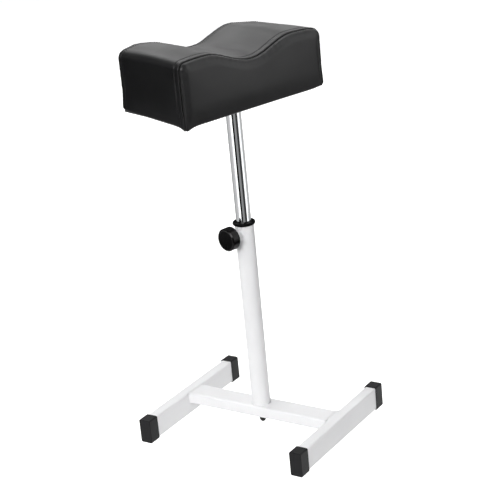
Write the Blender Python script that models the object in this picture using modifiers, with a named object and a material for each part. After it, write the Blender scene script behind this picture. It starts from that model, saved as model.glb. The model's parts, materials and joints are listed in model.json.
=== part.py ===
"""Pedicure footrest: a welded base with a post, a sliding mast with a screw clamp, and a padded saddle.

All sizes are in metres and +Z is up. The origin is on the floor under the post, +X runs along the crossbar.
"""

from math import cos, pi, radians, sin

import bmesh
import bpy
from mathutils import Matrix

OBJECT_NAME = "pedicure_footrest"

# Fits
CLEAR = 0.0003  # between pieces that touch
SLIDE_PLAY = 0.0002  # between the mast and its guide
HOLE_PLAY = 0.0005  # round a bolt in its hole
SOFT_PLAY = 0.0004  # between the cover and what fills it

# Rectangular tube of the base
TUBE_TALL = 0.040
TUBE_WIDE = 0.020
TUBE_WALL = 0.0015
TUBE_CORNER = 0.003
LEG_LENGTH = 0.276
LEG_SPACING = 0.300

# Sleeve caps on the leg ends
CAP_LENGTH = 0.023
CAP_WALL = 0.001
CAP_END = 0.002
CAP_ROUND = 0.0008

# Post and the fastening at its foot
POST_DIAMETER = 0.032
POST_WALL = 0.0015
POST_LENGTH = 0.346
PLUG_HEIGHT = 0.012
FOOT_STUD_DIAMETER = 0.008
FOOT_STUD_PROUD = 0.0015  # above the plug
WASHER_DIAMETER = 0.016
WASHER_THICK = 0.0016
CAP_NUT_ACROSS_FLATS = 0.013
CAP_NUT_HEX = 0.0065
CAP_NUT_DOME = 0.0085
CAP_NUT_BORE = 0.010

# Guide bush in the post's mouth
BUSH_FLANGE_DIAMETER = 0.038
BUSH_FLANGE_THICK = 0.006
BUSH_ROUND = 0.0022
BUSH_SKIRT = 0.034

# Mast and the glide at its lower end
MAST_DIAMETER = 0.025
MAST_WALL = 0.0012
MAST_LENGTH = 0.304
MAST_RISE = 0.2096  # mast above the post's mouth, at rest
GLIDE_FLANGE = 0.012
GLIDE_SPIGOT = 0.015
GLIDE_BORE = 0.014

# Screw clamp
CLAMP_DROP = 0.0155  # clamp axis below the post's mouth
CLAMP_HEADING = radians(-104)  # from +X, seen from above
CLAMP_NUT_ACROSS_FLATS = 0.013
CLAMP_NUT_THICK = 0.0085
CLAMP_STUD_DIAMETER = 0.008
CLAMP_TIP_DIAMETER = 0.0074
CLAMP_TIP_THICK = 0.003
KNOB_DIAMETER = 0.039
KNOB_THICK = 0.016
KNOB_CHAMFER = 0.0035
KNOB_EDGE = 0.001
KNOB_DISH = 0.0006
KNOB_HUB_DIAMETER = 0.018
KNOB_HUB = 0.0025
KNOB_STANDOFF = 0.0012  # hub to nut, with the clamp tight
KNOB_BORE = 0.012  # depth of the stud in the knob

# Mounting plate and its screws
PLATE_SIDE = 0.090
PLATE_THICK = 0.003
PLATE_CORNER = 0.008
SCREW_SPACING = 0.068
SCREW_DIAMETER = 0.006
SCREW_HEAD_DIAMETER = 0.012
SCREW_HEAD = 0.0038
TEE_FLANGE_DIAMETER = 0.019
TEE_FLANGE = 0.0012
TEE_BARREL_DIAMETER = 0.0085
TEE_BARREL = 0.009

# Padded saddle
PAD_HEADING = radians(71.5)  # long axis from +X at rest, seen from above
PAD_ASIDE = 0.013  # pad's middle from the mast, towards -X at rest
PAD_LENGTH = 0.280
PAD_WIDTH = 0.160
HUMP_HEIGHT = 0.100
HUMP_PLACE = 0.088  # top of a hump from the middle
VALLEY_HEIGHT = 0.0775
SHOULDER_DROP = 0.003
SHOULDER_RADIUS = 0.014
SEAM_RADIUS = 0.004
CROWN = 0.0025
DRAWN_IN = 0.002  # sides between the corners
PANEL_PUFF = 0.0012
COVER_THICK = 0.0012
COVER_LIP = 0.022  # turned under the board
DUST_COVER_THICK = 0.0009
BOARD_THICK = 0.012
BOARD_CORNER = 0.006
BOARD_ROUND = 0.003

# Facets
ROUND_STEPS = 48
SMALL_STEPS = 24
ARC_STEPS = 4
SADDLE_STEPS = 14
SHOULDER_STEPS = 3
PANEL_ROWS = 3
PAD_ROWS = 5
MERGE = 0.00001

# Levels and places that follow from the sizes above
TUBE_FLOOR = CAP_WALL + CLEAR
TUBE_TOP = TUBE_FLOOR + TUBE_TALL
BAR_FLOOR = TUBE_TOP - TUBE_WIDE
POST_FLOOR = BAR_FLOOR + TUBE_WALL + CLEAR
POST_TOP = POST_FLOOR + POST_LENGTH
POST_BORE = POST_DIAMETER - 2 * POST_WALL
CLAMP_LEVEL = POST_TOP - CLAMP_DROP
MAST_TOP = POST_TOP + MAST_RISE
MAST_FLOOR = MAST_TOP - MAST_LENGTH
PLATE_FLOOR = MAST_TOP + CLEAR
PAD_FLOOR = PLATE_FLOOR + PLATE_THICK
BOARD_FLOOR = COVER_THICK + CLEAR  # this and the next two are above PAD_FLOOR
BOARD_TOP = BOARD_FLOOR + BOARD_THICK
FOAM_FLOOR = BOARD_TOP + CLEAR
PAD_FILL_INSET = COVER_THICK + SOFT_PLAY

PAINT = ("white_powder_coat", (0.80, 0.80, 0.80), 0.35, 0.0)
CHROME = ("chrome_plate", (0.80, 0.81, 0.82), 0.08, 1.0)
BLACK_PLASTIC = ("black_plastic", (0.022, 0.022, 0.024), 0.45, 0.0)
GLOSS_PLASTIC = ("black_gloss_plastic", (0.012, 0.012, 0.013), 0.22, 0.0)
BLACK_STEEL = ("blackened_steel", (0.020, 0.020, 0.021), 0.40, 0.6)
ZINC_STEEL = ("zinc_plated_steel", (0.55, 0.56, 0.58), 0.35, 1.0)
NYLON = ("natural_nylon", (0.70, 0.69, 0.64), 0.50, 0.0)
PLYWOOD = ("birch_plywood", (0.55, 0.40, 0.24), 0.65, 0.0)
FOAM = ("pale_foam", (0.75, 0.70, 0.52), 0.95, 0.0)
LEATHER = ("black_leatherette", (0.018, 0.018, 0.019), 0.48, 0.0)
FELT = ("black_felt", (0.030, 0.030, 0.030), 0.95, 0.0)


def clear_scene():
    """Remove every object that the scene starts with."""
    for obj in list(bpy.data.objects):
        bpy.data.objects.remove(obj, do_unlink=True)


def new_collection(name):
    """Add an empty collection to the scene."""
    collection = bpy.data.collections.new(name)
    bpy.context.scene.collection.children.link(collection)
    return collection


def finish_material(finish):
    """Get or make the Principled material of a finish: name, colour, roughness and metallic."""
    name, colour, roughness, metallic = finish
    material = bpy.data.materials.get(name)
    if material is None:
        material = bpy.data.materials.new(name)
        material.use_nodes = True
        shader = material.node_tree.nodes["Principled BSDF"]
        shader.inputs["Base Color"].default_value = (*colour, 1.0)
        shader.inputs["Roughness"].default_value = roughness
        shader.inputs["Metallic"].default_value = metallic
    return material


def add_piece(name, mesh, finish, parent=None, location=(0, 0, 0), rotation=(0, 0, 0)):
    """Place a mesh as one named piece of the footrest."""
    piece = bpy.data.objects.new(name, mesh)
    parts.objects.link(piece)
    piece.parent = parent
    piece.location = location
    piece.rotation_euler = rotation
    mesh.materials.append(finish_material(finish))
    return piece


def add_axis(name, location, rotation=(0, 0, 0), parent=None):
    """Add an empty that carries the pieces of one moving body on its axis."""
    axis = bpy.data.objects.new(name, None)
    parts.objects.link(axis)
    axis.empty_display_size = POST_DIAMETER
    axis.location = location
    axis.rotation_euler = rotation
    axis.parent = parent
    return axis


def add_cutter(name, mesh, parent=None, location=(0, 0, 0), rotation=(0, 0, 0)):
    """Place a mesh that only cuts other pieces."""
    cutter = bpy.data.objects.new(name, mesh)
    cutters.objects.link(cutter)
    cutter.parent = parent
    cutter.location = location
    cutter.rotation_euler = rotation
    cutter.hide_render = True
    cutter.display_type = "WIRE"
    return cutter


def combine(piece, other, operation="DIFFERENCE"):
    """Cut a piece with another object, or join the two."""
    boolean = piece.modifiers.new(other.name, "BOOLEAN")
    boolean.solver = "EXACT"
    boolean.operation = operation
    boolean.object = other


def round_edges(piece, width, segments=2, angle=radians(50)):
    """Round the sharp edges of a piece."""
    bevel = piece.modifiers.new("rounded_edges", "BEVEL")
    bevel.width = width
    bevel.segments = segments
    bevel.limit_method = "ANGLE"
    bevel.angle_limit = angle


def arc(centre, radius, start, end, steps=ARC_STEPS):
    """Points on an arc, both ends included, angles in degrees."""
    turns = [radians(start + (end - start) * step / steps) for step in range(steps + 1)]
    return [(centre[0] + radius * cos(turn), centre[1] + radius * sin(turn)) for turn in turns]


def circle(centre, diameter, steps=SMALL_STEPS):
    """Points round a circle."""
    return arc(centre, diameter / 2, 0, 360, steps)[:-1]


def rounded_rectangle(width, height, radius):
    """Points round a rectangle with rounded corners, about its middle."""
    across, up = width / 2 - radius, height / 2 - radius
    corners = ((across, up, 0), (-across, up, 90), (-across, -up, 180), (across, -up, 270))
    return [point for x, y, turn in corners for point in arc((x, y), radius, turn, turn + 90)]


def extruded(name, loops, thickness):
    """Mesh of a flat outline with holes, extruded to half its thickness on each side of its plane."""
    curve = bpy.data.curves.new(name, "CURVE")
    curve.dimensions = "2D"
    curve.fill_mode = "BOTH"
    curve.extrude = thickness / 2
    for loop in loops:
        spline = curve.splines.new("POLY")
        spline.points.add(len(loop) - 1)
        for point, (x, y) in zip(spline.points, loop):
            point.co = (x, y, 0, 1)
        spline.use_cyclic_u = True
    outline = bpy.data.objects.new(name, curve)
    bpy.context.scene.collection.objects.link(outline)
    graph = bpy.context.evaluated_depsgraph_get()
    mesh = bpy.data.meshes.new_from_object(outline.evaluated_get(graph))
    bpy.data.objects.remove(outline)
    form = bmesh.new()
    form.from_mesh(mesh)
    bmesh.ops.remove_doubles(form, verts=form.verts, dist=MERGE)
    bmesh.ops.dissolve_limit(form, angle_limit=radians(1), verts=form.verts, edges=form.edges)
    bmesh.ops.recalc_face_normals(form, faces=form.faces)
    form.to_mesh(mesh)
    form.free()
    mesh.name = name
    return mesh


def profile_mesh(name, points, closed):
    """Mesh of the edges of a profile at +X, which runs down its outer side."""
    edges = [(index, index + 1) for index in range(len(points) - 1)]
    if closed:
        edges.append((len(points) - 1, 0))
    mesh = bpy.data.meshes.new(name)
    mesh.from_pydata([(x, 0, z) for x, z in points], edges, [])
    return mesh


def turn(piece, steps=ROUND_STEPS):
    """Turn a profile a full circle about the piece's own Z axis."""
    screw = piece.modifiers.new("turned", "SCREW")
    screw.axis = "Z"
    screw.steps = steps
    screw.render_steps = steps
    screw.use_merge_vertices = True
    screw.merge_threshold = MERGE
    screw.use_smooth_shade = True


def add_turned(name, points, finish, closed=False, steps=ROUND_STEPS, **place):
    """Add a turned piece from its profile."""
    piece = add_piece(name, profile_mesh(name, points, closed), finish, **place)
    turn(piece, steps)
    return piece


def ring_profile(outer, inner, floor, top):
    """Profile of a plain ring or tube, from its diameters and levels."""
    return [(outer / 2, top), (outer / 2, floor), (inner / 2, floor), (inner / 2, top)]


def prism_mesh(name, diameter, length, sides):
    """Mesh of an upright round or many-sided bar that starts at its own origin."""
    mesh = bpy.data.meshes.new(name)
    form = bmesh.new()
    lift = Matrix.Translation((0, 0, length / 2))
    bmesh.ops.create_cone(
        form,
        cap_ends=True,
        segments=sides,
        radius1=diameter / 2,
        radius2=diameter / 2,
        depth=length,
        matrix=lift,
    )
    form.to_mesh(mesh)
    form.free()
    return mesh


def hexagon_mesh(name, across_flats, length):
    """Mesh of an upright hexagon bar that starts at its own origin."""
    return prism_mesh(name, across_flats / cos(pi / 6), length, 6)


def rectangular_tube(name, wide, tall, length):
    """Mesh of a straight tube of the base, along its own Z axis."""
    outer = rounded_rectangle(wide, tall, TUBE_CORNER)
    bore_corner = TUBE_CORNER - TUBE_WALL
    inner = rounded_rectangle(wide - 2 * TUBE_WALL, tall - 2 * TUBE_WALL, bore_corner)
    return extruded(name, (outer, inner), length)


def build_legs():
    """Two tubes on edge, along Y, with a sleeve cap on each end."""
    lying = (radians(90), 0, 0)
    middle = TUBE_FLOOR + TUBE_TALL / 2
    for side, across in (("left", -LEG_SPACING / 2), ("right", LEG_SPACING / 2)):
        leg = rectangular_tube(f"{side}_leg", TUBE_WIDE, TUBE_TALL, LEG_LENGTH)
        add_piece(f"{side}_leg", leg, PAINT, location=(across, 0, middle), rotation=lying)
        for end, towards in (("front", -1), ("rear", 1)):
            build_cap(f"{end}_{side}_cap", across, towards, middle)


def build_cap(name, across, towards, middle):
    """A sleeve cap: a rounded box, hollowed to take the tube's end."""
    space = 2 * CLEAR
    wide, tall = TUBE_WIDE + space, TUBE_TALL + space
    corner = TUBE_CORNER + CLEAR
    outer = rounded_rectangle(wide + 2 * CAP_WALL, tall + 2 * CAP_WALL, corner + CAP_WALL)
    face = LEG_LENGTH / 2 + CLEAR + CAP_END
    lying = (radians(90), 0, 0)
    place = (across, towards * (face - CAP_LENGTH / 2), middle)
    box = extruded(name, (outer,), CAP_LENGTH)
    cap = add_piece(name, box, BLACK_PLASTIC, location=place, rotation=lying)
    round_edges(cap, CAP_ROUND)
    hollow = extruded(f"{name}_hollow", (rounded_rectangle(wide, tall, corner),), CAP_LENGTH)
    place = (across, towards * (face - CAP_END - CAP_LENGTH / 2), middle)
    combine(cap, add_cutter(f"{name}_hollow", hollow, location=place, rotation=lying))


def build_crossbar():
    """The same tube laid flat between the legs, holed for the post above and for its stud below."""
    length = LEG_SPACING - TUBE_WIDE - 2 * CLEAR
    tube = rectangular_tube("crossbar", TUBE_WIDE, TUBE_TALL, length)
    middle = (0, 0, BAR_FLOOR + TUBE_WIDE / 2)
    bar = add_piece("crossbar", tube, PAINT, location=middle, rotation=(0, radians(90), 0))
    post_hole = prism_mesh("post_hole", POST_DIAMETER + 2 * HOLE_PLAY, TUBE_WIDE, ROUND_STEPS)
    combine(bar, add_cutter("post_hole", post_hole, location=middle))
    stud_hole = prism_mesh("stud_hole", FOOT_STUD_DIAMETER + 2 * HOLE_PLAY, TUBE_WIDE, SMALL_STEPS)
    combine(bar, add_cutter("stud_hole", stud_hole, location=(0, 0, BAR_FLOOR - TUBE_WIDE / 2)))


def build_post(clamp_axis):
    """The upright tube, holed for the clamp, with the plug in its foot and what fastens it from below."""
    tube = ring_profile(POST_DIAMETER, POST_BORE, POST_FLOOR, POST_TOP)
    post = add_turned("post_tube", tube, PAINT, closed=True)
    combine(post, clamp_hole("post_clamp_hole", clamp_axis))

    plug_bore = FOOT_STUD_DIAMETER + 2 * CLEAR
    plug_top = POST_FLOOR + PLUG_HEIGHT
    plug = ring_profile(POST_BORE - 2 * CLEAR, plug_bore, POST_FLOOR, plug_top)
    add_turned("post_foot_plug", plug, ZINC_STEEL, closed=True)

    washer_top = BAR_FLOOR - CLEAR
    nut_top = washer_top - WASHER_THICK - CLEAR
    stud_floor = nut_top - CAP_NUT_BORE + CLEAR
    stud_length = plug_top + FOOT_STUD_PROUD - stud_floor
    stud = prism_mesh("foot_stud", FOOT_STUD_DIAMETER, stud_length, SMALL_STEPS)
    add_piece("foot_stud", stud, ZINC_STEEL, location=(0, 0, stud_floor))
    washer_bore = FOOT_STUD_DIAMETER + 2 * CLEAR
    washer = ring_profile(WASHER_DIAMETER, washer_bore, washer_top - WASHER_THICK, washer_top)
    add_turned("foot_washer", washer, ZINC_STEEL, closed=True, steps=SMALL_STEPS)
    build_cap_nut(nut_top)


def build_cap_nut(top):
    """A closed nut: a hexagon with a dome under it and a blind bore from above."""
    hexagon = hexagon_mesh("foot_cap_nut", CAP_NUT_ACROSS_FLATS, CAP_NUT_HEX)
    nut = add_piece("foot_cap_nut", hexagon, BLACK_STEEL, location=(0, 0, top - CAP_NUT_HEX))
    radius = CAP_NUT_ACROSS_FLATS / 2 - CLEAR
    neck = CAP_NUT_DOME - radius
    round_end = arc((0, -neck), radius, 0, -90)
    dome_profile = [(0, CAP_NUT_HEX / 2), (radius, CAP_NUT_HEX / 2)] + round_end
    dome = add_cutter("cap_nut_dome", profile_mesh("cap_nut_dome", dome_profile, False), parent=nut)
    turn(dome, SMALL_STEPS)
    combine(nut, dome, "UNION")
    bore_mesh = prism_mesh("cap_nut_bore", FOOT_STUD_DIAMETER + 2 * CLEAR, 2 * CAP_NUT_BORE, SMALL_STEPS)
    bore = add_cutter("cap_nut_bore", bore_mesh, parent=nut, location=(0, 0, CAP_NUT_HEX - CAP_NUT_BORE))
    combine(nut, bore)


def clamp_hole(name, clamp_axis):
    """A cutter for the clamp's way through the near wall of the post and its bush."""
    hole = prism_mesh(name, CLAMP_STUD_DIAMETER + 2 * HOLE_PLAY, POST_DIAMETER, SMALL_STEPS)
    return add_cutter(name, hole, parent=clamp_axis)


def build_guide_bush(clamp_axis):
    """The black bush in the post's mouth: a rounded flange over a skirt that guides the mast."""
    floor = POST_TOP + CLEAR
    top = floor + BUSH_FLANGE_THICK
    rim = BUSH_FLANGE_DIAMETER / 2
    bore = MAST_DIAMETER / 2 + SLIDE_PLAY
    skirt = POST_BORE / 2 - CLEAR
    skirt_floor = POST_TOP - BUSH_SKIRT
    profile = [(bore, top)]
    profile += arc((rim - BUSH_ROUND, top - BUSH_ROUND), BUSH_ROUND, 90, 0)
    profile += arc((rim - BUSH_ROUND, floor + BUSH_ROUND), BUSH_ROUND, 0, -90)
    profile += [(skirt, floor), (skirt, skirt_floor), (bore, skirt_floor)]
    bush = add_turned("guide_bush", profile, GLOSS_PLASTIC, closed=True)
    combine(bush, clamp_hole("bush_clamp_hole", clamp_axis))


def build_clamp(clamp_axis):
    """The clamp on its own axis: a nut welded to the post, the pressure tip, the stud and the knob."""
    nut_floor = POST_DIAMETER / 2
    nut_mesh = hexagon_mesh("clamp_nut", CLAMP_NUT_ACROSS_FLATS, CLAMP_NUT_THICK + CLEAR)
    nut = add_piece("clamp_nut", nut_mesh, PAINT, parent=clamp_axis, location=(0, 0, nut_floor))
    nut_top = nut_floor + CLAMP_NUT_THICK + CLEAR
    thread = prism_mesh("clamp_thread", CLAMP_STUD_DIAMETER + 2 * CLEAR, 2 * nut_top, SMALL_STEPS)
    combine(nut, add_cutter("clamp_thread", thread, parent=clamp_axis))
    notch = prism_mesh("nut_notch", POST_DIAMETER + 2 * CLEAR, 2 * CLAMP_NUT_ACROSS_FLATS, ROUND_STEPS)
    place = (0, 0, CLAMP_LEVEL - CLAMP_NUT_ACROSS_FLATS)
    combine(nut, add_cutter("nut_notch", notch, location=place))

    tip_floor = MAST_DIAMETER / 2 + CLEAR
    tip = prism_mesh("clamp_tip", CLAMP_TIP_DIAMETER, CLAMP_TIP_THICK, SMALL_STEPS)
    add_piece("clamp_tip", tip, NYLON, parent=clamp_axis, location=(0, 0, tip_floor))

    stud_floor = tip_floor + CLAMP_TIP_THICK + CLEAR
    hub_floor = nut_top + KNOB_STANDOFF
    stud_top = hub_floor + KNOB_BORE - CLEAR
    stud = prism_mesh("knob_stud", CLAMP_STUD_DIAMETER, stud_top - stud_floor, SMALL_STEPS)
    add_piece("knob_stud", stud, ZINC_STEEL, parent=clamp_axis, location=(0, 0, stud_floor))

    bore = CLAMP_STUD_DIAMETER / 2 + CLEAR
    back = hub_floor + KNOB_HUB
    face = back + KNOB_THICK
    rim = KNOB_DIAMETER / 2
    dish = face - KNOB_DISH
    profile = [(0, dish), (rim - 2 * KNOB_CHAMFER, dish)]
    profile += arc((rim - KNOB_CHAMFER, face - KNOB_CHAMFER), KNOB_CHAMFER, 90, 0)
    profile += arc((rim - KNOB_EDGE, back + KNOB_EDGE), KNOB_EDGE, 0, -90, 2)
    profile += [(KNOB_HUB_DIAMETER / 2, back), (KNOB_HUB_DIAMETER / 2, hub_floor), (bore, hub_floor)]
    profile += [(bore, hub_floor + KNOB_BORE), (0, hub_floor + KNOB_BORE)]
    add_turned("knob_body", profile, BLACK_PLASTIC, parent=clamp_axis)


def build_mast(mast_axis):
    """The chrome tube, the glide in its lower end and the mounting plate on its top."""
    bore = MAST_DIAMETER - 2 * MAST_WALL
    tube = ring_profile(MAST_DIAMETER, bore, MAST_FLOOR, MAST_TOP)
    add_turned("mast_tube", tube, CHROME, closed=True, parent=mast_axis)

    flange_top = MAST_FLOOR - CLEAR
    flange_floor = flange_top - GLIDE_FLANGE
    spigot_top = flange_top + GLIDE_SPIGOT
    flange, spigot = POST_BORE / 2 - CLEAR, bore / 2 - CLEAR
    hollow = GLIDE_BORE / 2
    profile = [(spigot, spigot_top), (spigot, flange_top), (flange, flange_top)]
    profile += [(flange, flange_floor), (hollow, flange_floor), (hollow, spigot_top)]
    add_turned("glide_bush", profile, NYLON, closed=True, parent=mast_axis)


def screw_places():
    """The four screws' places on the plate, from its middle."""
    reach = SCREW_SPACING / 2
    return [(x, y) for x in (-reach, reach) for y in (-reach, reach)]


def build_plate(plate_axis):
    """The steel plate on the mast's top, with the screws and tee nuts that hold the board."""
    hole = SCREW_DIAMETER + 2 * HOLE_PLAY
    outline = rounded_rectangle(PLATE_SIDE, PLATE_SIDE, PLATE_CORNER)
    holes = [circle(place, hole) for place in screw_places()]
    plate = extruded("mounting_plate", [outline] + holes, PLATE_THICK)
    add_piece("mounting_plate", plate, PAINT, parent=plate_axis, location=(0, 0, -PLATE_THICK / 2))

    tee_top = BOARD_TOP - CLEAR
    head_top = -PLATE_THICK - CLEAR
    head_floor = head_top - SCREW_HEAD
    shank, head = SCREW_DIAMETER / 2, SCREW_HEAD_DIAMETER / 2
    chamfer = SCREW_HEAD / 2
    screw = [(0, tee_top), (shank, tee_top), (shank, head_top), (head, head_top)]
    screw += [(head, head_floor + chamfer), (head - chamfer, head_floor), (0, head_floor)]
    flange, barrel = TEE_FLANGE_DIAMETER / 2, TEE_BARREL_DIAMETER / 2
    bore = shank + CLEAR
    flange_floor, barrel_floor = tee_top - TEE_FLANGE, tee_top - TEE_BARREL
    tee = [(flange, tee_top), (flange, flange_floor), (barrel, flange_floor), (barrel, barrel_floor)]
    tee += [(bore, barrel_floor), (bore, tee_top)]
    for number, (x, y) in enumerate(screw_places(), 1):
        place = {"parent": plate_axis, "location": (x, y, 0), "steps": SMALL_STEPS}
        add_turned(f"plate_screw_{number}", screw, ZINC_STEEL, **place)
        add_turned(f"tee_nut_{number}", tee, ZINC_STEEL, closed=True, **place)


def build_board(pad_axis, plate_axis):
    """The plywood board, recessed for the tee nuts, and the dust cover stapled under it."""
    length, width = PAD_LENGTH - 2 * PAD_FILL_INSET, PAD_WIDTH - 2 * PAD_FILL_INSET
    sheet = extruded("base_board", (rounded_rectangle(length, width, BOARD_CORNER),), BOARD_THICK)
    middle = BOARD_FLOOR + BOARD_THICK / 2
    board = add_piece("base_board", sheet, PLYWOOD, parent=pad_axis, location=(0, 0, middle))
    round_edges(board, BOARD_ROUND)
    recess_depth = TEE_FLANGE + 2 * CLEAR
    for number, (x, y) in enumerate(screw_places(), 1):
        name = f"tee_hole_{number}"
        hole = prism_mesh(name, TEE_BARREL_DIAMETER + 2 * CLEAR, 2 * BOARD_THICK, SMALL_STEPS)
        place = (x, y, BOARD_FLOOR - BOARD_THICK / 2)
        combine(board, add_cutter(name, hole, parent=plate_axis, location=place))
        name = f"tee_recess_{number}"
        recess = prism_mesh(name, TEE_FLANGE_DIAMETER + 2 * CLEAR, 2 * recess_depth, SMALL_STEPS)
        place = (x, y, BOARD_TOP - recess_depth)
        combine(board, add_cutter(name, recess, parent=plate_axis, location=place))

    inset = 2 * (COVER_LIP + CLEAR)
    outline = rounded_rectangle(PAD_LENGTH - inset, PAD_WIDTH - inset, BOARD_CORNER)
    along, across = PAD_ASIDE * cos(PAD_HEADING), PAD_ASIDE * sin(PAD_HEADING)
    places = [(x + along, y - across) for x, y in screw_places()]
    holes = [circle(place, SCREW_DIAMETER + 2 * HOLE_PLAY) for place in places]
    cloth = extruded("dust_cover", [outline] + holes, DUST_COVER_THICK)
    place = (0, 0, BOARD_FLOOR - CLEAR - DUST_COVER_THICK / 2)
    add_piece("dust_cover", cloth, FELT, parent=pad_axis, location=place)


def saddle_height(x):
    """Height along the saddle: a cosine rise from the valley to each hump, then a slow fall."""
    reach = abs(x)
    if reach < HUMP_PLACE:
        rise = (1 - cos(pi * reach / HUMP_PLACE)) / 2
        return VALLEY_HEIGHT + (HUMP_HEIGHT - VALLEY_HEIGHT) * rise
    past = (reach - HUMP_PLACE) / (PAD_LENGTH / 2 - HUMP_PLACE)
    return HUMP_HEIGHT - SHOULDER_DROP * past**2


def saddle_outline(inset):
    """Top line of the saddle, drawn in by an inset: two round shoulders and the curve between them."""
    radius = SHOULDER_RADIUS - inset
    bend = PAD_LENGTH / 2 - SHOULDER_RADIUS
    level = saddle_height(bend) - SHOULDER_RADIUS
    steps = [bend * (2 * step / SADDLE_STEPS - 1) for step in range(1, SADDLE_STEPS)]
    curve = [(x, saddle_height(x) - inset) for x in steps]
    left = arc((-bend, level), radius, 180, 90, SHOULDER_STEPS)
    return left + curve + arc((bend, level), radius, 90, 0, SHOULDER_STEPS)


def soften(form):
    """Crown the saddle above the board, draw it in between its corners and puff its side panels."""
    for vert in form.verts:
        x, y, z = vert.co
        along, across = 1 - (2 * x / PAD_LENGTH) ** 2, 1 - (2 * y / PAD_WIDTH) ** 2
        share = max(0.0, (z - BOARD_TOP) / (HUMP_HEIGHT - BOARD_TOP))
        rise = max(0.0, (z - BOARD_TOP) / (saddle_height(x) - BOARD_TOP))
        puff = 4 * PANEL_PUFF * along * rise * max(0.0, 1 - rise)
        vert.co.x -= DRAWN_IN * share * across * 2 * x / PAD_LENGTH
        vert.co.y -= (DRAWN_IN * share * along - puff) * 2 * y / PAD_WIDTH
        vert.co.z += CROWN * share * across


def saddle_mesh(name, inset, floors, lip=0.0):
    """Mesh of the saddle: a side panel in columns and rows, extruded across. A lip leaves it open below.

    The panel's lowest rows are at the given floors, and the others share out the height above the board.
    """
    form = bmesh.new()
    outline = saddle_outline(inset)
    columns, rows = len(outline) - 1, len(floors) - 1 + PANEL_ROWS
    bmesh.ops.create_grid(form, x_segments=columns, y_segments=rows, size=1)
    width = PAD_WIDTH - 2 * inset
    for vert in form.verts:
        column, row = round((vert.co.x + 1) / 2 * columns), round((vert.co.y + 1) / 2 * rows)
        x, top = outline[column]
        even = (PAD_LENGTH / 2 - inset) * (2 * column / columns - 1)
        share = max(0.0, (row - len(floors) + 1) / PANEL_ROWS)
        level = BOARD_TOP + share * (top - BOARD_TOP) if share else floors[row]
        vert.co = (even + share * (x - even), -width / 2, level)
    grown = bmesh.ops.extrude_face_region(form, geom=form.faces[:])["geom"]
    moved = [item for item in grown if isinstance(item, bmesh.types.BMVert)]
    bmesh.ops.translate(form, verts=moved, vec=(0, width, 0))
    bmesh.ops.recalc_face_normals(form, faces=form.faces)
    crosswise = [edge for edge in form.edges if edge.calc_length() > width - MERGE]
    bmesh.ops.subdivide_edges(form, edges=crosswise, cuts=PAD_ROWS - 1, use_grid_fill=True)
    below = [item for item in form.faces if item.calc_center_median().z < floors[0] + MERGE]
    underside = bmesh.ops.dissolve_faces(form, faces=below)["region"]
    if lip:
        ring = {"use_even_offset": True, "use_boundary": True}
        bmesh.ops.inset_region(form, faces=underside, thickness=lip, **ring)
        bmesh.ops.delete(form, geom=underside, context="FACES")
    soften(form)
    mesh = bpy.data.meshes.new(name)
    form.to_mesh(mesh)
    form.free()
    mesh.shade_smooth()
    return mesh


def build_cushion(pad_axis):
    """The foam on the board and the sewn cover over both, turned under the board's edge."""
    foam_mesh = saddle_mesh("foam_core", PAD_FILL_INSET, (FOAM_FLOOR,))
    foam = add_piece("foam_core", foam_mesh, FOAM, parent=pad_axis)
    round_edges(foam, SEAM_RADIUS - PAD_FILL_INSET)
    cover_mesh = saddle_mesh("pad_cover", 0, (0, BOARD_TOP), COVER_LIP)
    cover = add_piece("pad_cover", cover_mesh, LEATHER, parent=pad_axis)
    round_edges(cover, SEAM_RADIUS)
    shell = cover.modifiers.new("leather", "SOLIDIFY")
    shell.thickness = COVER_THICK
    shell.offset = -1
    shell.use_even_offset = True


clear_scene()
parts = new_collection(OBJECT_NAME)
cutters = new_collection("cutters")
clamp = add_axis("clamp_axis", (0, 0, CLAMP_LEVEL), (0, radians(90), CLAMP_HEADING))
mast = add_axis("mast_axis", (0, 0, 0))
plate = add_axis("plate_axis", (0, 0, PAD_FLOOR), (0, 0, PAD_HEADING), parent=mast)
pad = add_axis("pad_axis", (-PAD_ASIDE, 0, PAD_FLOOR), (0, 0, PAD_HEADING), parent=mast)
build_legs()
build_crossbar()
build_post(clamp)
build_guide_bush(clamp)
build_clamp(clamp)
build_mast(mast)
build_plate(plate)
build_board(pad, plate)
build_cushion(pad)
bpy.context.view_layer.update()
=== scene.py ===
"""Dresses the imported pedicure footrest: painted base and post, chromed mast, screw clamp and sewn cushion.

Lengths are in millimetres until a mesh is made; the camera and the lamps are placed in metres. New pieces
are grids of points worked out with numpy.
"""
import json
from math import cos, pi, radians, sin

import bmesh
import bpy
import numpy as np
from mathutils import Matrix, Vector


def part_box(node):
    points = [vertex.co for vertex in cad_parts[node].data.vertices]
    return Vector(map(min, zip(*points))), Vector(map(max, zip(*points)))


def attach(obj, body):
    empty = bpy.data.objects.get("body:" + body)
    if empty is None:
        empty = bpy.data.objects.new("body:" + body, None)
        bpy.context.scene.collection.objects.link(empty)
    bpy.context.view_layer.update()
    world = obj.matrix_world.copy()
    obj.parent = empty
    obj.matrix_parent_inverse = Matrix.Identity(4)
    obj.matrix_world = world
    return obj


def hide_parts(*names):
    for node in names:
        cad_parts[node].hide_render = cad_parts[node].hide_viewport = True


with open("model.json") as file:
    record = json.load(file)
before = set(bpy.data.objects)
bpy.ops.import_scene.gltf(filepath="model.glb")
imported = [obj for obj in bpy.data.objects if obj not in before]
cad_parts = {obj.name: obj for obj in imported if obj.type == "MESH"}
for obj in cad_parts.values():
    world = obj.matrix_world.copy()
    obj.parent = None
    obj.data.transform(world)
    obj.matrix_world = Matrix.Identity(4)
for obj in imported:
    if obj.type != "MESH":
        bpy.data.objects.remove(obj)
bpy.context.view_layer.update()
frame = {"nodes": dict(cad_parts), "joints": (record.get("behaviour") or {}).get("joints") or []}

scene = bpy.context.scene
MM = 0.001
UP = np.array([0, 0, 1])
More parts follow.
